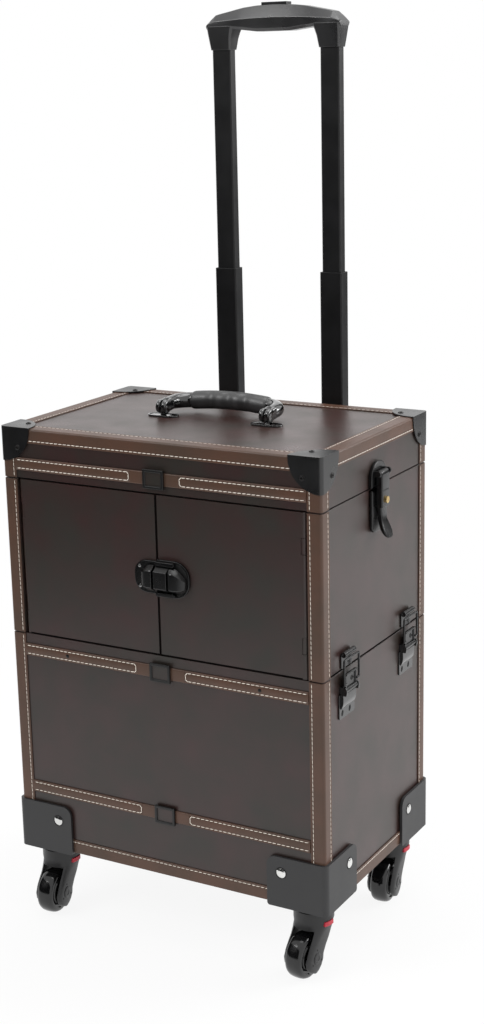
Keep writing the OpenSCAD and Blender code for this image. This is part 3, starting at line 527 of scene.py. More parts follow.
BOTH_ENDS = (HERE, FLIP_X)
TONGUE_END = 28.5
STRAP_LENGTH = 140.3
HALF_STRAP = [(0, -6.7), (1.7, -6.7), (1.95, -5.1), (1.35, -4.35), (1.95, -3.6), (2.1, 0), (1.95, 3.6),
              (1.35, 4.35), (1.95, 5.1), (1.7, 6.7), (0, 6.7)]
TONGUE = [(0, -6.7), (1.6, -6.7), (1.85, -5.1), (2.0, 0), (1.85, 5.1), (1.6, 6.7), (0, 6.7)]
# the thread's way around a half strap: across, up from its middle, out of the board
STRAP_SEWN = [(167, 4.35, 1.65), (31.6, 4.35, 1.75), (29.8, 2.6, 2.15), (29.8, -2.6, 2.15),
              (31.6, -4.35, 1.75), (167, -4.35, 1.65)]
STRAP_ROUNDS = [0, 0.8] + [0] * 7 + [0.8, 0]
TONGUE_ROUNDS = [0, 0.8, 0, 0, 0, 0.8, 0]


def strap(bm, threads, z):
    """A strap at one height: two sewn halves, and a plain tongue between them."""
    for flip in BOTH_ENDS:
        plate(bm, flip @ along("front", TONGUE_END, z), HALF_STRAP, STRAP_LENGTH, STRAP_ROUNDS)
        path = [flip @ Vector((x, -HALF_D - out, z + rise)) for x, rise, out in STRAP_SEWN]
        for start, end in zip(path, path[1:]):
            sew(threads, start, end, (0, -1, 0))
    plate(bm, along("front", -TONGUE_END, z), TONGUE, 2 * TONGUE_END, TONGUE_ROUNDS)


def turned(bm, place, profile, steps=28):
    """A profile of (radius, height) points turned around its axis."""
    part = bmesh.new()
    points = [part.verts.new((r, 0, h)) for r, h in profile]
    lines = [part.edges.new(pair) for pair in zip(points, points[1:])]
    bmesh.ops.spin(part, geom=points + lines, cent=(0, 0, 0), axis=(0, 0, 1), angle=2 * pi, steps=steps,
                   use_merge=True)
    bmesh.ops.remove_doubles(part, verts=part.verts[:], dist=0.0005)
    bmesh.ops.recalc_face_normals(part, faces=part.faces[:])
    put(bm, part, place)


# moulded plastic and painted metal: a fine even tooth and slow changes of tone
fine_tooth, node, link, given, result = grain_group("fine_tooth")
speck = node("ShaderNodeTexNoise", Detail=3)
smudge = node("ShaderNodeTexNoise", Scale=28, Detail=4)
link(given.outputs["Vector"], speck.inputs["Vector"])
link(given.outputs["Size"], speck.inputs["Scale"])
link(speck.outputs[0], result.inputs["Height"])
link(given.outputs["Vector"], smudge.inputs["Vector"])
link(smudge.outputs[0], result.inputs["Tone"])


def coated(name, colour, rough, uneven=0.06, size=1400, relief=0.05, metal=0.0, shine=0.5, coat=0.0):
    """Plastic, paint or metal: nearly one colour, with a fine tooth and uneven gloss."""
    tones = [tuple(min(1, c * share) for c in colour[:3]) + (1.0,) for share in (0.86, 1.12)]
    gloss = (0.3, 0.7, rough - uneven, rough + uneven)
    return grained(name, fine_tooth, size, tones, (0.35, 0.65), gloss, relief, 0.0003,
                   Metallic=metal, Specular_IOR_Level=shine, Coat_Weight=coat, Coat_Roughness=0.12)


loop_black = coated("loop_black", srgb(14, 14, 14), 0.36)
dark_rivet = coated("dark_rivet", srgb(38, 37, 37), 0.32, metal=0.6)


def oblong(left, low, right, high):
    """The corners of an oblong outline, from its lower left one around."""
    return [(left, low), (right, low), (right, high), (left, high)]


def sunk(part, wide, deep, slope=0.3):
    """Sinks the front face of a plate inside a flat border."""
    bmesh.ops.recalc_face_normals(part, faces=part.faces[:])
    face = [max(part.faces, key=lambda f: f.calc_center_median().z)]
    bmesh.ops.inset_region(part, faces=face, thickness=wide, use_even_offset=True)
    bmesh.ops.inset_region(part, faces=face, thickness=slope, depth=-deep, use_even_offset=True)


def strap_loop(bm, linings, z):
    """A loop on a strap: a raised frame around a sunk field, which is lined with hide."""
    part = bmesh.new()
    plate(part, HERE, oblong(-12, -9.75, 12, 9.75), 3)
    sunk(part, 2.6, 1.7)
    put(bm, part, FRONT @ shift(0, z, HALF_D + 1.6))
    plate(linings, FRONT @ shift(0, z, HALF_D + 2.8), oblong(-9, -6.8, 9, 6.8), 0.3)


LOW_STRAP = 149
HIGH_STRAP = 305.5
LID_STRAP = 507.7
RIVET = [(2.0, 0), (1.9, 0.4), (1.2, 0.8), (0, 0.95)]
trim, loops, linings, rivets = bmesh.new(), bmesh.new(), bmesh.new(), bmesh.new()
for z in (LOW_STRAP, HIGH_STRAP):
    strap(trim, lower_threads, z)
    strap_loop(loops, linings, z)
for x in (-115, 115):
    turned(rivets, FRONT @ shift(x, HIGH_STRAP, HALF_D + 1.9), RIVET, 20)
set_piece("lower_straps_leather", trim, "lower_case", brown_hide, ["lower_straps"], 0.25)
set_piece("lower_stitching", lower_threads, "lower_case", thread)
set_piece("lower_loops", loops, "lower_case", loop_black, ["lower_strap_loops"], 0.6)
set_piece("lower_loop_linings", linings, "lower_case", dark_hide)
set_piece("strap_rivets", rivets, "lower_case", dark_rivet)

trim, loops, linings = bmesh.new(), bmesh.new(), bmesh.new()
strap(trim, lid_threads, LID_STRAP)
strap_loop(loops, linings, LID_STRAP)
set_piece("lid_strap_leather", trim, "lid", brown_hide, ["lid_strap"], 0.25)
set_piece("lid_stitching", lid_threads, "lid", thread)
set_piece("lid_loop", loops, "lid", loop_black, ["lid_strap_loop"], 0.6)
set_piece("lid_loop_lining", linings, "lid", dark_hide)


# Lid corner caps
# Pressed steel caps, painted satin black, cover the four lid corners with a round lobe on each face.
# Each lobe is held by one tubular rivet that sits in a small dimple.

cap_paint = coated("cap_paint", srgb(18, 18, 19), 0.29, size=2200, relief=0.04, shine=0.75)
dress("lid_corner_caps", cap_paint, 0.45)
# how far a cap stands out of the boards, and the middle of its lobes
CAP = 2.4
LOBE_X = 165
LOBE_Y = 101.5
LOBE_Z = 525.2
BACKWARD = Matrix.Rotation(-pi / 2, 4, "X")
EYELET = [(0, 0.15), (1.0, 0.15), (1.3, 0.75), (1.9, 1.0), (2.6, 0.75), (3.0, 0.0)]
rivets = bmesh.new()
for flip in CORNERS:
    turned(rivets, flip @ shift(LOBE_X, LOBE_Y, LID_TOP + CAP), EYELET, 20)
    turned(rivets, flip @ shift(LOBE_X, HALF_D + CAP, LOBE_Z) @ BACKWARD, EYELET, 20)
    turned(rivets, flip @ shift(HALF_W + CAP, LOBE_Y, LOBE_Z) @ SIDEWAYS, EYELET, 20)
set_piece("cap_eyelets", rivets, "lid", dark_rivet, ["cap_rivets"])


# Hinges
# A painted piano hinge joins the lid to the left side. Small pin hinges, covered with the hide of the
# posts, carry the doors.

satin_black = coated("satin_black_metal", srgb(34, 34, 35), 0.38, size=2200, relief=0.04)
for name in ("lid_hinge_case_leaf", "lid_hinge_lid_leaf"):
    dress(name, satin_black, 0.25)
dress("door_hinges", dark_hide, 0.25)


# Painted seam shade
# Along the lower edges of the lid, the upper box and the doors, and where the doors meet, thin black
# strips are painted on as the shade of the seams and of the gap between the doors.

# how far the lines run on the wide and on the deep sides, and where the posts beside the doors begin
WIDE_END = 181.5
DEEP_END = 118
POST = 168.6


def draw_shade_line(bm, side, start, end, low, high):
    """A thin line of painted seam shade on one side of the case, between two heights."""
    plate(bm, along(side, start, low), oblong(-0.05, 0, 0.07, high - low), end - start)


for name, inner, outer, start, end in (("left_door", -1.5, -0.4, -162, -1.5),
                                       ("right_door", 0.4, 1.0, 1.0, 162)):
    low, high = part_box(name)
    foot, top = low.z / MM, high.z / MM
    bm = bmesh.new()
    draw_shade_line(bm, "front", inner, outer, foot, top)
    draw_shade_line(bm, "front", start, end, foot, foot + 1.2)
    set_piece(name + "_painted_shade_line", bm, name, seam_shade_paint)
bm = bmesh.new()
for side, start, end in (("front", -WIDE_END, -POST), ("front", POST, WIDE_END),
                         ("back", -WIDE_END, WIDE_END), ("left", -DEEP_END, DEEP_END),
                         ("right", -DEEP_END, DEEP_END)):
    draw_shade_line(bm, side, start, end, UPPER_BASE, UPPER_BASE + 1.6)
set_piece("upper_painted_shade_line", bm, "upper_case", seam_shade_paint)
bm = bmesh.new()
for side, reach in (("front", WIDE_END), ("back", WIDE_END), ("left", DEEP_END), ("right", DEEP_END)):
    draw_shade_line(bm, side, -reach, reach, LID_BASE, LID_BASE + 0.8)
set_piece("lid_painted_shade_line", bm, "lid", seam_shade_paint)


# Door latch
# A cast and gloss painted toggle latch: a round ended strike on the left door, a larger base with two
# side rails on the right door, and a lever between the rails with a tapered finger end.

cast_black = coated("cast_black", srgb(6, 6, 7), 0.25, uneven=0.05, size=900, relief=0.03, shine=0.45,
                    coat=0.2)
screw_steel = coated("screw_steel", srgb(150, 150, 150), 0.30, metal=1.0, relief=0.03)
# a near black for painted shade in holes, dimples and recesses, and around the bolt heads
painted_hole_shade = coated("painted_hole_shade", srgb(8, 8, 8), 0.8)
LATCH = FRONT @ shift(0, 406.6, HALF_D)
SCREW = [(0, 0.4), (0.5, 0.4), (0.6, 0.7), (1.2, 0.6), (1.7, 0.3), (1.8, 0.0)]
STUD = [(0, 0.5), (0.5, 0.4), (0.8, 0.0)]
# cross sections of strike and lever: across, lower edge, upper edge, top
STRIKE_RIDGE = [(-1.1, -13.4, 13.4, 12.3), (-7, -13.4, 13.4, 12.3), (-10.5, -12.4, 12.4, 12.0),
                (-13, -10.4, 10.4, 10.8), (-14.6, -7.8, 7.8, 8.6), (-15.3, -5.6, 5.6, 6.0)]
LEVER_RIDGE = [(1.3, -13.4, 13.4, 12.3), (16.4, -13.4, 13.4, 12.3), (16.8, -12.2, 12.2, 8.6),
               (18.6, -12.2, 12.2, 8.6), (19.0, -13.4, 13.4, 12.1), (24.2, -13.2, 12.4, 11.9),
               (28.4, -12.6, 9.8, 11.2), (32, -11.4, 6.6, 9.8), (34.8, -9.6, 3.4, 8.0), (36, -7.8, 1.6, 6.4)]


def loft(bm, place, rings):
    """A closed body through rings of points, all rings in the same order."""
    part = bmesh.new()
    loops = []
    for ring in rings:
        verts = bmesh.ops.create_circle(part, segments=len(ring), radius=1)["verts"]
        for vert, spot in zip(verts, ring):
            vert.co = spot
        loops.append(list({edge for vert in verts for edge in vert.link_edges}))
    for low, high in zip(loops, loops[1:]):
        bmesh.ops.bridge_loops(part, edges=low + high)
    bmesh.ops.holes_fill(part, edges=loops[0] + loops[-1])
    bmesh.ops.recalc_face_normals(part, faces=part.faces[:])
    put(bm, part, place)


def ridge(x, low, high, top, foot=3.0):
    """A cross section of the raised latch: flat on top, with wide slopes above and below."""
    rise = min(4.9, (high - low) * 0.18)
    shoulder = foot + (top - foot) * 0.28
    return [(x, low, foot), (x, low, shoulder), (x, low + rise, top), (x, high - rise, top),
            (x, high, shoulder), (x, high, foot)]


bm = bmesh.new()
plate(bm, LATCH, oblong(-26, -17, -0.4, 17), 3, [14, 0, 0, 14])
loft(bm, LATCH, [ridge(*row) for row in STRIKE_RIDGE])
set_piece("door_strike", bm, "left_door", cast_black, ["door_latch_strike"], 0.7, 3)
bm = bmesh.new()
for z in (-10.5, 10.5):
    turned(bm, LATCH @ shift(-19.6, z, 3), SCREW, 16)
turned(bm, LATCH @ shift(-2.6, 9.0, 12.0), STUD, 12)
set_piece("strike_screws", bm, "left_door", screw_steel)

bm, part = bmesh.new(), bmesh.new()
plate(part, HERE, oblong(0.4, -19, 38, 19), 3, [0, 17, 17, 0], 12)
sunk(part, 1.3, 0.7)
put(bm, part, LATCH)
for z in (-15.9, 15.9):
    plate(bm, LATCH @ shift(0, z, 1.8), oblong(0.8, -2, 23, 2), 5.6, [1.5, 1.9, 1.9, 1.5])
set_piece("door_latch_body", bm, "right_door", cast_black, ["door_latch_base"], 0.6, 3)
bm = bmesh.new()
# a thin black sheet on the floor of the base's sunk field, painted shade of the recess
plate(bm, LATCH @ shift(0, 0, 2.2), oblong(0.6, -17.2, 36.2, 17.2), 0.25, [0, 15.3, 15.3, 0], 12)
set_piece("door_latch_recess_shade", bm, "right_door", painted_hole_shade)

bm = bmesh.new()
loft(bm, LATCH, [ridge(*row, foot=3.5) for row in LEVER_RIDGE])
set_piece("door_lever_arm", bm, "door_lever", cast_black, ["door_latch_lever"], 0.5, 3)
bm = bmesh.new()
turned(bm, LATCH @ shift(21.5, 8.2, 11.8), STUD, 12)
set_piece("lever_stud", bm, "door_lever", screw_steel)


# Lid latch
# A gloss black hasp on the right side: a round topped plate on the lid carries the lever, which hangs
# over a bevelled base on the upper box, with a brass key plug and a curved finger tab.

LUG = [(HALF_W, 504.2), (194.6, 504.2), (195.6, 507.2), (194.6, 510.2), (HALF_W, 510.2)]
FOOT = [(-16, 490.6), (-16, 451.6), (-11, 446.6), (11, 446.6), (16, 451.6), (16, 490.6)]
# cross sections of the lever from its pivot down: height, back, front, half width
LID_LEVER = [(510.1, 190.2, 192.8, 8.4), (508.6, 188.6, 194.6, 8.8), (506, 188.4, 195.2, 8.9),
             (490.3, 188.4, 195.2, 8.9), (489.9, 188.4, 194.2, 8.6), (489.5, 188.4, 195.2, 8.9),
             (472.3, 188.4, 195.2, 8.9), (471.8, 188.4, 193.4, 7.2), (466, 188.6, 193.4, 6.4),
             (459, 189.4, 193.9, 6.2), (455, 190.6, 195.2, 7.6), (450, 192.6, 197.2, 8.4),
             (446, 194.8, 199, 8.0), (443, 196.8, 200.2, 6.4), (441.4, 198.4, 200.9, 4.2)]

bm = bmesh.new()
plate(bm, RIGHT @ shift(0, 0, HALF_W), oblong(-17.5, 493.2, 17.5, 518.6), 4, [0.4, 0.4, 17, 17], 10)
for flip in (HERE, FLIP_Y):
    plate(bm, flip @ FRONT @ shift(0, 0, -12.9), LUG, 2.2, [0, 1.6, 2, 1.6, 0])
set_piece("lid_latch_keeper", bm, "lid", cast_black, ["lid_latch_plate"], 0.9, 3)
bm = bmesh.new()
plate(bm, RIGHT @ shift(0, 0, HALF_W), FOOT, 4, [0.5, 2, 2, 2, 2, 0.5])
set_piece("lid_latch_foot", bm, "upper_case", cast_black, ["lid_latch_base"], 1.4, 3)

bm = bmesh.new()
loft(bm, HERE, [[(rear, -half, z), (face - 1, -half, z), (face, 1.3 - half, z), (face, half - 1.3, z),
                 (face - 1, half, z), (rear, half, z)] for z, rear, face, half in LID_LEVER])
set_piece("lid_lever_arm", bm, "lid_lever", cast_black, ["lid_latch_lever"], 0.4, 3)

key_brass = coated("key_brass", srgb(214, 186, 128), 0.25, metal=1.0, relief=0.04)
dress("lock_plug", key_brass, 0.3)


# Draw latches
# Four stamped draw latches hold the boxes together: a rolled hook above the seam, and below it a base
# with a bulge, a lever with a raised border, and a wire loop that reaches up under the roll.

def rod(bm, place, points, radii, sides):
    """A round rod through points, with a radius at each, smoothed between them."""
    curve = bpy.data.curves.new("rod", "CURVE")
    curve.dimensions = "3D"
    curve.bevel_depth = 1.0
    curve.bevel_resolution = sides
    curve.use_fill_caps = True
    line = curve.splines.new("BEZIER")
    line.bezier_points.add(len(points) - 1)
    for knot, spot, radius in zip(line.bezier_points, points, radii):
        knot.co = spot
        knot.radius = radius
        knot.handle_left_type = knot.handle_right_type = "AUTO"
    line.resolution_u = 8
    holder = bpy.data.objects.new("rod", curve)
    mesh = bpy.data.meshes.new_from_object(holder)
    part = bmesh.new()
    part.from_mesh(mesh)
    bmesh.ops.remove_doubles(part, verts=part.verts[:], dist=0.0005)
    bpy.data.objects.remove(holder)
    bpy.data.curves.remove(curve)
    bpy.data.meshes.remove(mesh)
    put(bm, part, place)


# the bases get a lighter copy of the latches' black paint than the hooks and levers, as painted light where
# they catch more of it
latch_black_painted_lighter = coated("latch_black_painted_lighter", srgb(13, 13, 14), 0.22, uneven=0.05, size=1200, relief=0.04, shine=0.6,
                     coat=0.5)
# how far the latches stand from the middle of the side
APART = 71
SPOTS = {"front_left": FLIP_X @ shift(0, -APART, 0), "front_right": shift(0, -APART, 0),
         "back_left": FLIP_X @ shift(0, APART, 0), "back_right": shift(0, APART, 0)}
# the thickness of the stamped sheet, and its holes, which are drawn as dark discs of painted shade
SHEET = 1.5
HOLE_SHADE = [(0, 0.0), (1.6, 0.05), (1.9, 0.35), (2.4, 0.3), (2.7, 0.0)]
SLOT_HOLE = Matrix.Rotation(-0.35, 4, "Z") @ Matrix.Diagonal((0.65, 1.25, 1, 1))
HOOK_ROLL = [(1.3, -11.2), (1.3, -12), (2.6, -12), (2.8, -11.8), (2.8, 11.8), (2.6, 12), (1.3, 12),
             (1.3, 11.2), (0, 11.2)]
PIVOT_ROLL = [(1.4, -12), (2.7, -12), (2.9, -11.8), (2.9, 11.8), (2.7, 12), (1.4, 12), (1.4, -12)]
LIP_ROLL = [(0, -12), (0.9, -12), (1.1, -11.8), (1.1, 11.8), (0.9, 12), (0, 12)]
# side views of the base's bulge and ears: out from the middle of the case, up
BULGE = [(HALF_W, 283), (185.8, 284.2), (188.2, 289), (188.5, 295), (188.2, 299.8), (HALF_W, 299.8)]
EAR = [(HALF_W, 299), (191.6, 299), (192.6, 304), (191, 307.8), (HALF_W, 307.8)]
# the wire in its own upright plane: along the case, up
WIRE_X = 190.5
WIRE_R = 1.2
WIRE = [(-11.2, 310.9), (-15.6, 310.9), (-16, 311.5), (-16, 335.4), (-15.4, 336.2), (15.4, 336.2),
        (16, 335.4), (16, 311.5), (15.6, 310.9), (11.2, 310.9)]
hooks, bases, holes_up, holes_low = bmesh.new(), bmesh.new(), bmesh.new(), bmesh.new()
for name, spot in SPOTS.items():
    board = spot @ RIGHT @ shift(0, 0, HALF_W)
    plate(hooks, board, oblong(-12, 325.6, 12, 340.6), SHEET, [1.5, 1.5, 0, 0])
    turned(hooks, spot @ shift(187.5, 0, 340.6) @ FRONT, HOOK_ROLL)
    plate(bases, board, oblong(-17, 274, 17, 300), SHEET, [2, 2, 0, 0])
    plate(bases, spot @ FRONT @ shift(0, 0, -14.4), BULGE, 28.8, [0, 2, 3, 2, 1, 0])
    for y in (-14.4, 12.4):
        plate(bases, spot @ FRONT @ shift(0, 0, -y - 2), EAR, 2, [0, 1, 2, 2, 0])
    turned(holes_up, board @ shift(3.6, 331.4, SHEET), HOLE_SHADE, 14)
    for y in (-10.6, 5.8):
        turned(holes_low, board @ shift(y, 279.8, SHEET) @ SLOT_HOLE, HOLE_SHADE, 14)

    lever, holes, part = bmesh.new(), bmesh.new(), bmesh.new()
    plate(part, HERE, oblong(-12, 304.4, 12, 321), 2.5)
    sunk(part, 1.9, 1.3)
    put(lever, part, spot @ RIGHT @ shift(0, 0, 187.8))
    turned(lever, spot @ shift(188.7, 0, 304) @ FRONT, PIVOT_ROLL)
    turned(lever, spot @ shift(190, 0, 320.4) @ FRONT, LIP_ROLL, 16)
    rod(lever, spot, [(WIRE_X, y, z) for y, z in WIRE], [WIRE_R] * len(WIRE), 3)
    turned(holes, spot @ RIGHT @ shift(3.2, 313.4, 189), HOLE_SHADE, 14)
    set_piece("draw_lever_arm_" + name, lever, "draw_" + name, cast_black,
              ["draw_lever_" + name], 0.3)
    set_piece("draw_lever_holes_" + name, holes, "draw_" + name, painted_hole_shade)
set_piece("draw_hooks", hooks, "upper_case", cast_black, ["draw_latch_hooks"], 0.3)
set_piece("draw_hook_holes", holes_up, "upper_case", painted_hole_shade)
set_piece("draw_bases", bases, "lower_case", latch_black_painted_lighter, ["draw_latch_bases"], 0.3)
set_piece("draw_base_holes", holes_low, "lower_case", painted_hole_shade)


# Corner brackets
# Each lower corner sits in a cast bracket, painted matt black.
# Two bright dome headed bolts hold it, one on each face, each with a ring of painted shadow under its head.

bracket_paint = coated("bracket_paint", srgb(42, 42, 43), 0.50, size=1700, relief=0.10, shine=0.55)
dress("wheel_brackets", bracket_paint, 1.3)
bolt_chrome = coated("bolt_chrome", srgb(226, 226, 224), 0.16, uneven=0.04, metal=1.0, relief=0.02)
# how far a bracket stands out of the boards
BRACKET = 4.2
BOLT_Z = 115
DOME = [(5.2, 0), (5.2, 0.35), (4.8, 0.6), (4.0, 1.15), (2.4, 1.55), (0, 1.7)]
# a thin black ring of painted shadow around each bolt head
SHADOW_RING = [(5.2, 0.05), (6.2, 0.05), (6.2, 0.3), (5.2, 0.3), (5.2, 0.05)]
bm, shadow_rings = bmesh.new(), bmesh.new()
for flip in CORNERS:
    for seat in (flip @ shift(136.5, HALF_D + BRACKET, BOLT_Z) @ BACKWARD,
                 flip @ shift(HALF_W + BRACKET, 73, BOLT_Z) @ SIDEWAYS):
        turned(bm, seat, DOME)
        turned(shadow_rings, seat, SHADOW_RING)
set_piece("bolt_shadow_rings", shadow_rings, "lower_case", painted_hole_shade)
set_piece("bracket_bolt_heads", bm, "lower_case", bolt_chrome, ["bracket_bolts"])


# Casters
# Moulded nylon forks swivel under the brackets.
# Each carries a glossy wheel on its axle, and a small red tab.

fork_nylon = coated("fork_nylon", srgb(27, 27, 28), 0.40, size=1500, relief=0.08)
wheel_gloss = coated("wheel_gloss", srgb(14, 14, 15), 0.14, uneven=0.05, size=700, relief=0.03, shine=0.6)
tab_red = coated("tab_red", srgb(186, 40, 58), 0.38, relief=0.04)
# how far the axle trails behind the swivel, and its height
TRAIL = 20
AXLE_Z = 24
# the fork from its round housing down to its legs: height, trail, half length, half width, squareness
FORK = [(70.6, 0, 20.2, 20.2, 2), (69.8, 0, 21, 21, 2), (60, 0, 21, 21, 2), (56, 0.3, 21, 19.5, 2.1),
        (50, 2.5, 21.5, 18, 2.5), (44, 6, 20.5, 16.8, 3.2), (38, 10.5, 19.3, 16.5, 4.2),
        (32, 15.5, 17.6, 16.5, 5), (24, TRAIL, 17, 16.5, 5), (18, TRAIL, 16, 16.5, 5),
        (13, TRAIL, 13, 16.3, 4.4), (9.5, TRAIL, 9, 15.8, 4), (7.4, TRAIL, 4, 15.2, 3)]
WHEEL_GAP = [(-5.4, -6), (50, -6), (50, 52.4), (4, 52.4), (-5.4, 40)]
BOSS = [(6.4, -0.5), (6.4, 0.4), (6.0, 0.7), (3.2, 0.7), (2.8, 0.35), (0, 0.35)]
DOT = [(0, 0.3), (0.8, 0.25), (1.0, 0.0)]
STEM = [(0, 60), (4.95, 60), (4.95, 78.4), (0, 78.4)]
TREAD = [(6, 9.4), (14.6, 9.4), (15.4, 8.0), (17.4, 8.0), (18.2, 9.4), (20.2, 9.3), (22.2, 8.2),
         (23.4, 6.0), (23.9, 3)]
WHEEL = [(3.1, -12.1), (5.8, -12.1), (6, -11.8)] + [(r, -h) for r, h in TREAD] + [(24, 0)]
WHEEL += TREAD[::-1] + [(6, 11.8), (5.8, 12.1), (3.1, 12.1), (3.1, -12.1)]
HEADINGS = {"front_left": (-157, -93.5, -85), "front_right": (157, -93.5, -95),
            "back_left": (-157, 93.5, -95), "back_right": (157, 93.5, -85)}


def to_object(part, name):
    """A drawn shape as an object of its own, for a cut."""
    mesh = bpy.data.meshes.new(name)
    part.to_mesh(mesh)
    part.free()
    made = bpy.data.objects.new(name, mesh)
    scene.collection.objects.link(made)
    return made


def carve(part, tool):
    """Cuts one drawn shape out of another and returns what is left."""
    bmesh.ops.recalc_face_normals(tool, faces=tool.faces[:])
    body, knife = to_object(part, "body"), to_object(tool, "knife")
    cut = body.modifiers.new("cut", "BOOLEAN")
    cut.object = knife
    cut.solver = "EXACT"
    bpy.context.view_layer.update()
    mesh = bpy.data.meshes.new_from_object(body.evaluated_get(bpy.context.evaluated_depsgraph_get()))
    left = bmesh.new()
    left.from_mesh(mesh)
    for made in (body, knife):
        old = made.data
        bpy.data.objects.remove(made)
        bpy.data.meshes.remove(old)
    bpy.data.meshes.remove(mesh)
    return left


def section(z, x, long, wide, square, steps=40):
    """A rounded cross section at one height: an ellipse where square is 2, and squarer above that."""
    ring = []
    for i in range(steps):
        u, v = cos(2 * pi * i / steps), sin(2 * pi * i / steps)
        ring.append((x + long * copysign(abs(u) ** (2 / square), u),
                     wide * copysign(abs(v) ** (2 / square), v), z))
    return ring


# one fork: a lofted body with a gap for the wheel and a pocket for the tab
shell, gap, pocket, dots = bmesh.new(), bmesh.new(), bmesh.new(), bmesh.new()
loft(shell, HERE, [section(*row) for row in FORK])
plate(gap, FRONT @ shift(0, 0, -12.5), WHEEL_GAP, 25, [0, 0, 0, 4, 8])
plate(pocket, Matrix.Rotation(radians(80), 4, "Z") @ shift(0, 0, 54.9), oblong(15, -6.6, 30, 6.6), 5.4)
for tool in (gap, pocket):
    shell = carve(shell, tool)
for side in (-1, 1):
    face = shift(TRAIL, side * 16.3, AXLE_Z) @ Matrix.Rotation(-side * pi / 2, 4, "X")
    turned(shell, face, BOSS, 24)
    # three small black dots around each axle boss, painted shade of little recesses
    for angle in (0.5, 2.6, 4.7):
        turned(dots, face @ shift(9.2 * cos(angle), 9.2 * sin(angle), 0.1), DOT, 8)
turned(shell, HERE, STEM, 24)

for name, (x, y, heading) in HEADINGS.items():
    spot = shift(x, y, 0) @ Matrix.Rotation(radians(heading), 4, "Z")
    bm = bmesh.new()
    put(bm, shell.copy(), spot)
    set_piece("fork_shell_" + name, bm, "caster_" + name, fork_nylon, ["fork_" + name])
    bm = bmesh.new()
    put(bm, dots.copy(), spot)
    set_piece("fork_dots_" + name, bm, "caster_" + name, painted_hole_shade)
    bm = bmesh.new()
    turned(bm, spot @ shift(TRAIL, 0, AXLE_Z) @ FRONT, WHEEL, 56)
    set_piece("wheel_tyre_" + name, bm, "roller_" + name, wheel_gloss, ["wheel_" + name])
    dress("tab_" + name, tab_red, 0.4)
shell.free()
dots.free()


# Trolley
# Three stages of chamfered black tube slide in each other behind the case. The outer ones are clamped
# by two moulded mounts; the inner ones carry a moulded grip with a release button.

tube_black = coated("tube_black", srgb(20, 20, 21), 0.38, uneven=0.05, size=2400, relief=0.03, shine=0.27)
grip_plastic = coated("grip_plastic", srgb(38, 38, 39), 0.30, size=1600, relief=0.07, shine=0.85)
for name in ("trolley_outer_tubes", "trolley_middle_tubes", "trolley_inner_tubes"):
    dress(name, tube_black, 0.4)
dress("trolley_mounts", bracket_paint, 0.8)
dress("trolley_button", tube_black, 0.6)
GRIP = shift(0, 148.5, 917)
# half of the bar from its middle: along, half depth, underside, front ridge, crest, half width of the
# crest, and how far the face under the ridge draws in
BAR = [(0, 13, 18, 31.8, 45, 7.1, 3.4), (20, 13, 18, 31.5, 44.4, 7.1, 3.4),
       (36, 13, 19.9, 31, 42.8, 7.1, 3.0), (44, 13, 20.7, 30.6, 41.3, 7.1, 2.2),
       (53, 13, 22, 30.2, 39.5, 7.1, 0), (65.5, 13, 22, 29.6, 37.1, 7.1, 0),
       (70, 13, 22, 29.2, 36, 7.3, 0), (75, 12.9, 22, 27.8, 31.6, 8.2, 0),
       (78.6, 12.2, 21.4, 26.4, 27.8, 9, 0), (80, 11.4, 20.6, 25.2, 26, 9.4, 0)]
# a leg of the grip, from the tube up: height, inner side, outer side, half depth, corner chamfer
LEG = [(0, 53, 77, 8, 1.5), (12, 51.4, 78.4, 10.4, 1.8), (18, 49.6, 79.1, 11.6, 2),
       (24.6, 47, 79.6, 12.9, 2.4)]


def bar_ring(x, deep, low, edge, crest, flat, draw):
    """A cross section of the bar: a flat crest, a ridge on both faces, and a drawn in underside."""
    return [(x, 2.2 + draw - deep, low), (x, draw - deep, low + 3), (x, -deep, edge), (x, -flat, crest),
            (x, flat, crest), (x, deep, edge), (x, deep - draw, low + 3), (x, deep - draw - 2.2, low)]


def leg_ring(z, inner, outer, deep, soft):
    """A cross section of a leg: an oblong with chamfered corners."""
    return [(inner, soft - deep, z), (inner + soft, -deep, z), (outer - soft, -deep, z),
            (outer, soft - deep, z), (outer, deep - soft, z), (outer - soft, deep, z),
            (inner + soft, deep, z), (inner, deep - soft, z)]


bar, pocket = bmesh.new(), bmesh.new()
loft(bar, HERE, [bar_ring(-x, *rest) for x, *rest in BAR[:0:-1]] + [bar_ring(*row) for row in BAR])
plate(pocket, shift(0, 0, 35), oblong(-15.3, -6.3, 15.3, 6.3), 20)
bar = carve(bar, pocket)
for flip in BOTH_ENDS:
    loft(bar, flip, [leg_ring(*row) for row in LEG])
bar.transform(GRIP)
grip_piece = set_piece("trolley_grip_bar", bar, "trolley_inner", grip_plastic,
                       ["trolley_grip"], 0.5)
grip_piece.modifiers["soft_edges"].angle_limit = radians(14)


# Carry handle
# Two thin upright tabs on oval plates carry the handle: glossy arms whose forked, domed ends sit over
# the tabs, sweep back and inward, and hold a matt rubber grip with finger waves along its front.

gloss_black = coated("gloss_black_cast", srgb(10, 10, 11), 0.16, uneven=0.05, size=900, relief=0.03,
                     shine=0.7, coat=1.0)
rubber = coated("grip_rubber", srgb(32, 32, 33), 0.44, uneven=0.04, size=1100, relief=0.08, shine=1.0)
POST_X = 62
POST_Y = -2
posts = bmesh.new()
for flip in BOTH_ENDS:
    base = flip @ shift(POST_X, POST_Y, LID_TOP)
    part = bmesh.new()
    plate(part, HERE, oblong(-18, -7.5, 18, 7.5), 1.9, [7.4] * 4, 10)
    sunk(part, 1.3, 0.7)
    put(posts, part, base)
    plate(posts, base @ RIGHT @ shift(0, 0, -0.8), oblong(-5, 0.6, 5, 15), 1.6, [0, 0, 4.9, 4.9], 10)
set_piece("handle_post_tabs", posts, "lid", gloss_black, ["handle_posts"], 0.25)

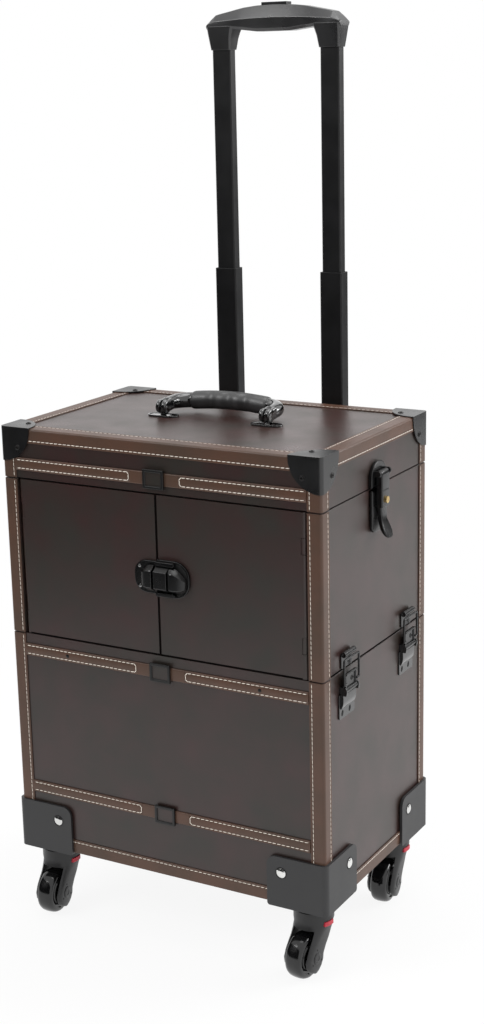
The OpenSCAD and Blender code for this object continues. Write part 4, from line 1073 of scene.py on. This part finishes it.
FOLD = shift(0, POST_Y, 554.2) @ Matrix.Rotation(radians(7), 4, "X")
DOME_END = [(0, -2.6), (6.7, -2.6), (7.2, -2.1), (7.4, -0.8), (7.3, 0.7), (6.8, 1.7), (5.4, 2.4), (2.4, 2.6),
            (0, 2.65)]
# a prong of the forked end: along, half thickness, half height
PRONG = [(1, 2.5, 6.2), (6, 2.55, 6.2), (11.5, 2.6, 6.2)]
# the sweep of an arm, and its radius at each point
SWEEP = [(POST_X, 8.7, 0), (POST_X, 10.2, 0), (POST_X, 15, -0.4), (61.4, 20.5, -1), (59.2, 26.5, -1.6),
         (55, 31.6, -2.1), (49.6, 35, -2.4), (44, 36, -2.4)]
SWEEP_R = [5.6, 6.7, 7.2, 7.6, 8.0, 8.2, 8.3, 8.3]
arms = bmesh.new()
for flip in BOTH_ENDS:
    for way in (1, -1):
        prong = FOLD @ flip @ shift(POST_X + way * 3.8, 0, 0)
        turned(arms, prong @ Matrix.Rotation(way * pi / 2, 4, "Y"), DOME_END)
        loft(arms, prong @ BACKWARD, [section(z, 0, thick, tall, 3) for z, thick, tall in PRONG])
    rod(arms, FOLD @ flip, SWEEP, SWEEP_R, 8)
set_piece("handle_sweep_arms", arms, "carry_handle", gloss_black, ["handle_arms"])

GRIP_HALF = 46
# the finger waves: their middles, and how wide they are
WAVES = (-20.5, 0, 20)
WAVE_WIDTH = 5.6
profile = [(0, -GRIP_HALF), (8.2, -GRIP_HALF), (9.3, -45.2), (9.7, -43.6)]
profile += [(9.8, i - 42) for i in range(85)]
profile += [(9.7, 43.6), (9.3, 45.2), (8.2, GRIP_HALF), (0, GRIP_HALF)]
grip = bmesh.new()
turned(grip, SIDEWAYS, profile, 36)
for vert in grip.verts:
    x, y, z = vert.co
    lean = max(0.0, (0.15 * z - 0.95 * y) / 10)
    dent = sum(exp(-((x - wave) / WAVE_WIDTH) ** 2) for wave in WAVES)
    shrink = 1 - 0.22 * dent * min(1.0, 1.3 * lean)
    vert.co = (x, y * shrink, z * shrink - 2.6 + 2.8 * (1 - (x / GRIP_HALF) ** 2))
grip.transform(FOLD @ shift(0, 36, 0))
set_piece("handle_rubber_grip", grip, "carry_handle", rubber, ["handle_grip"])
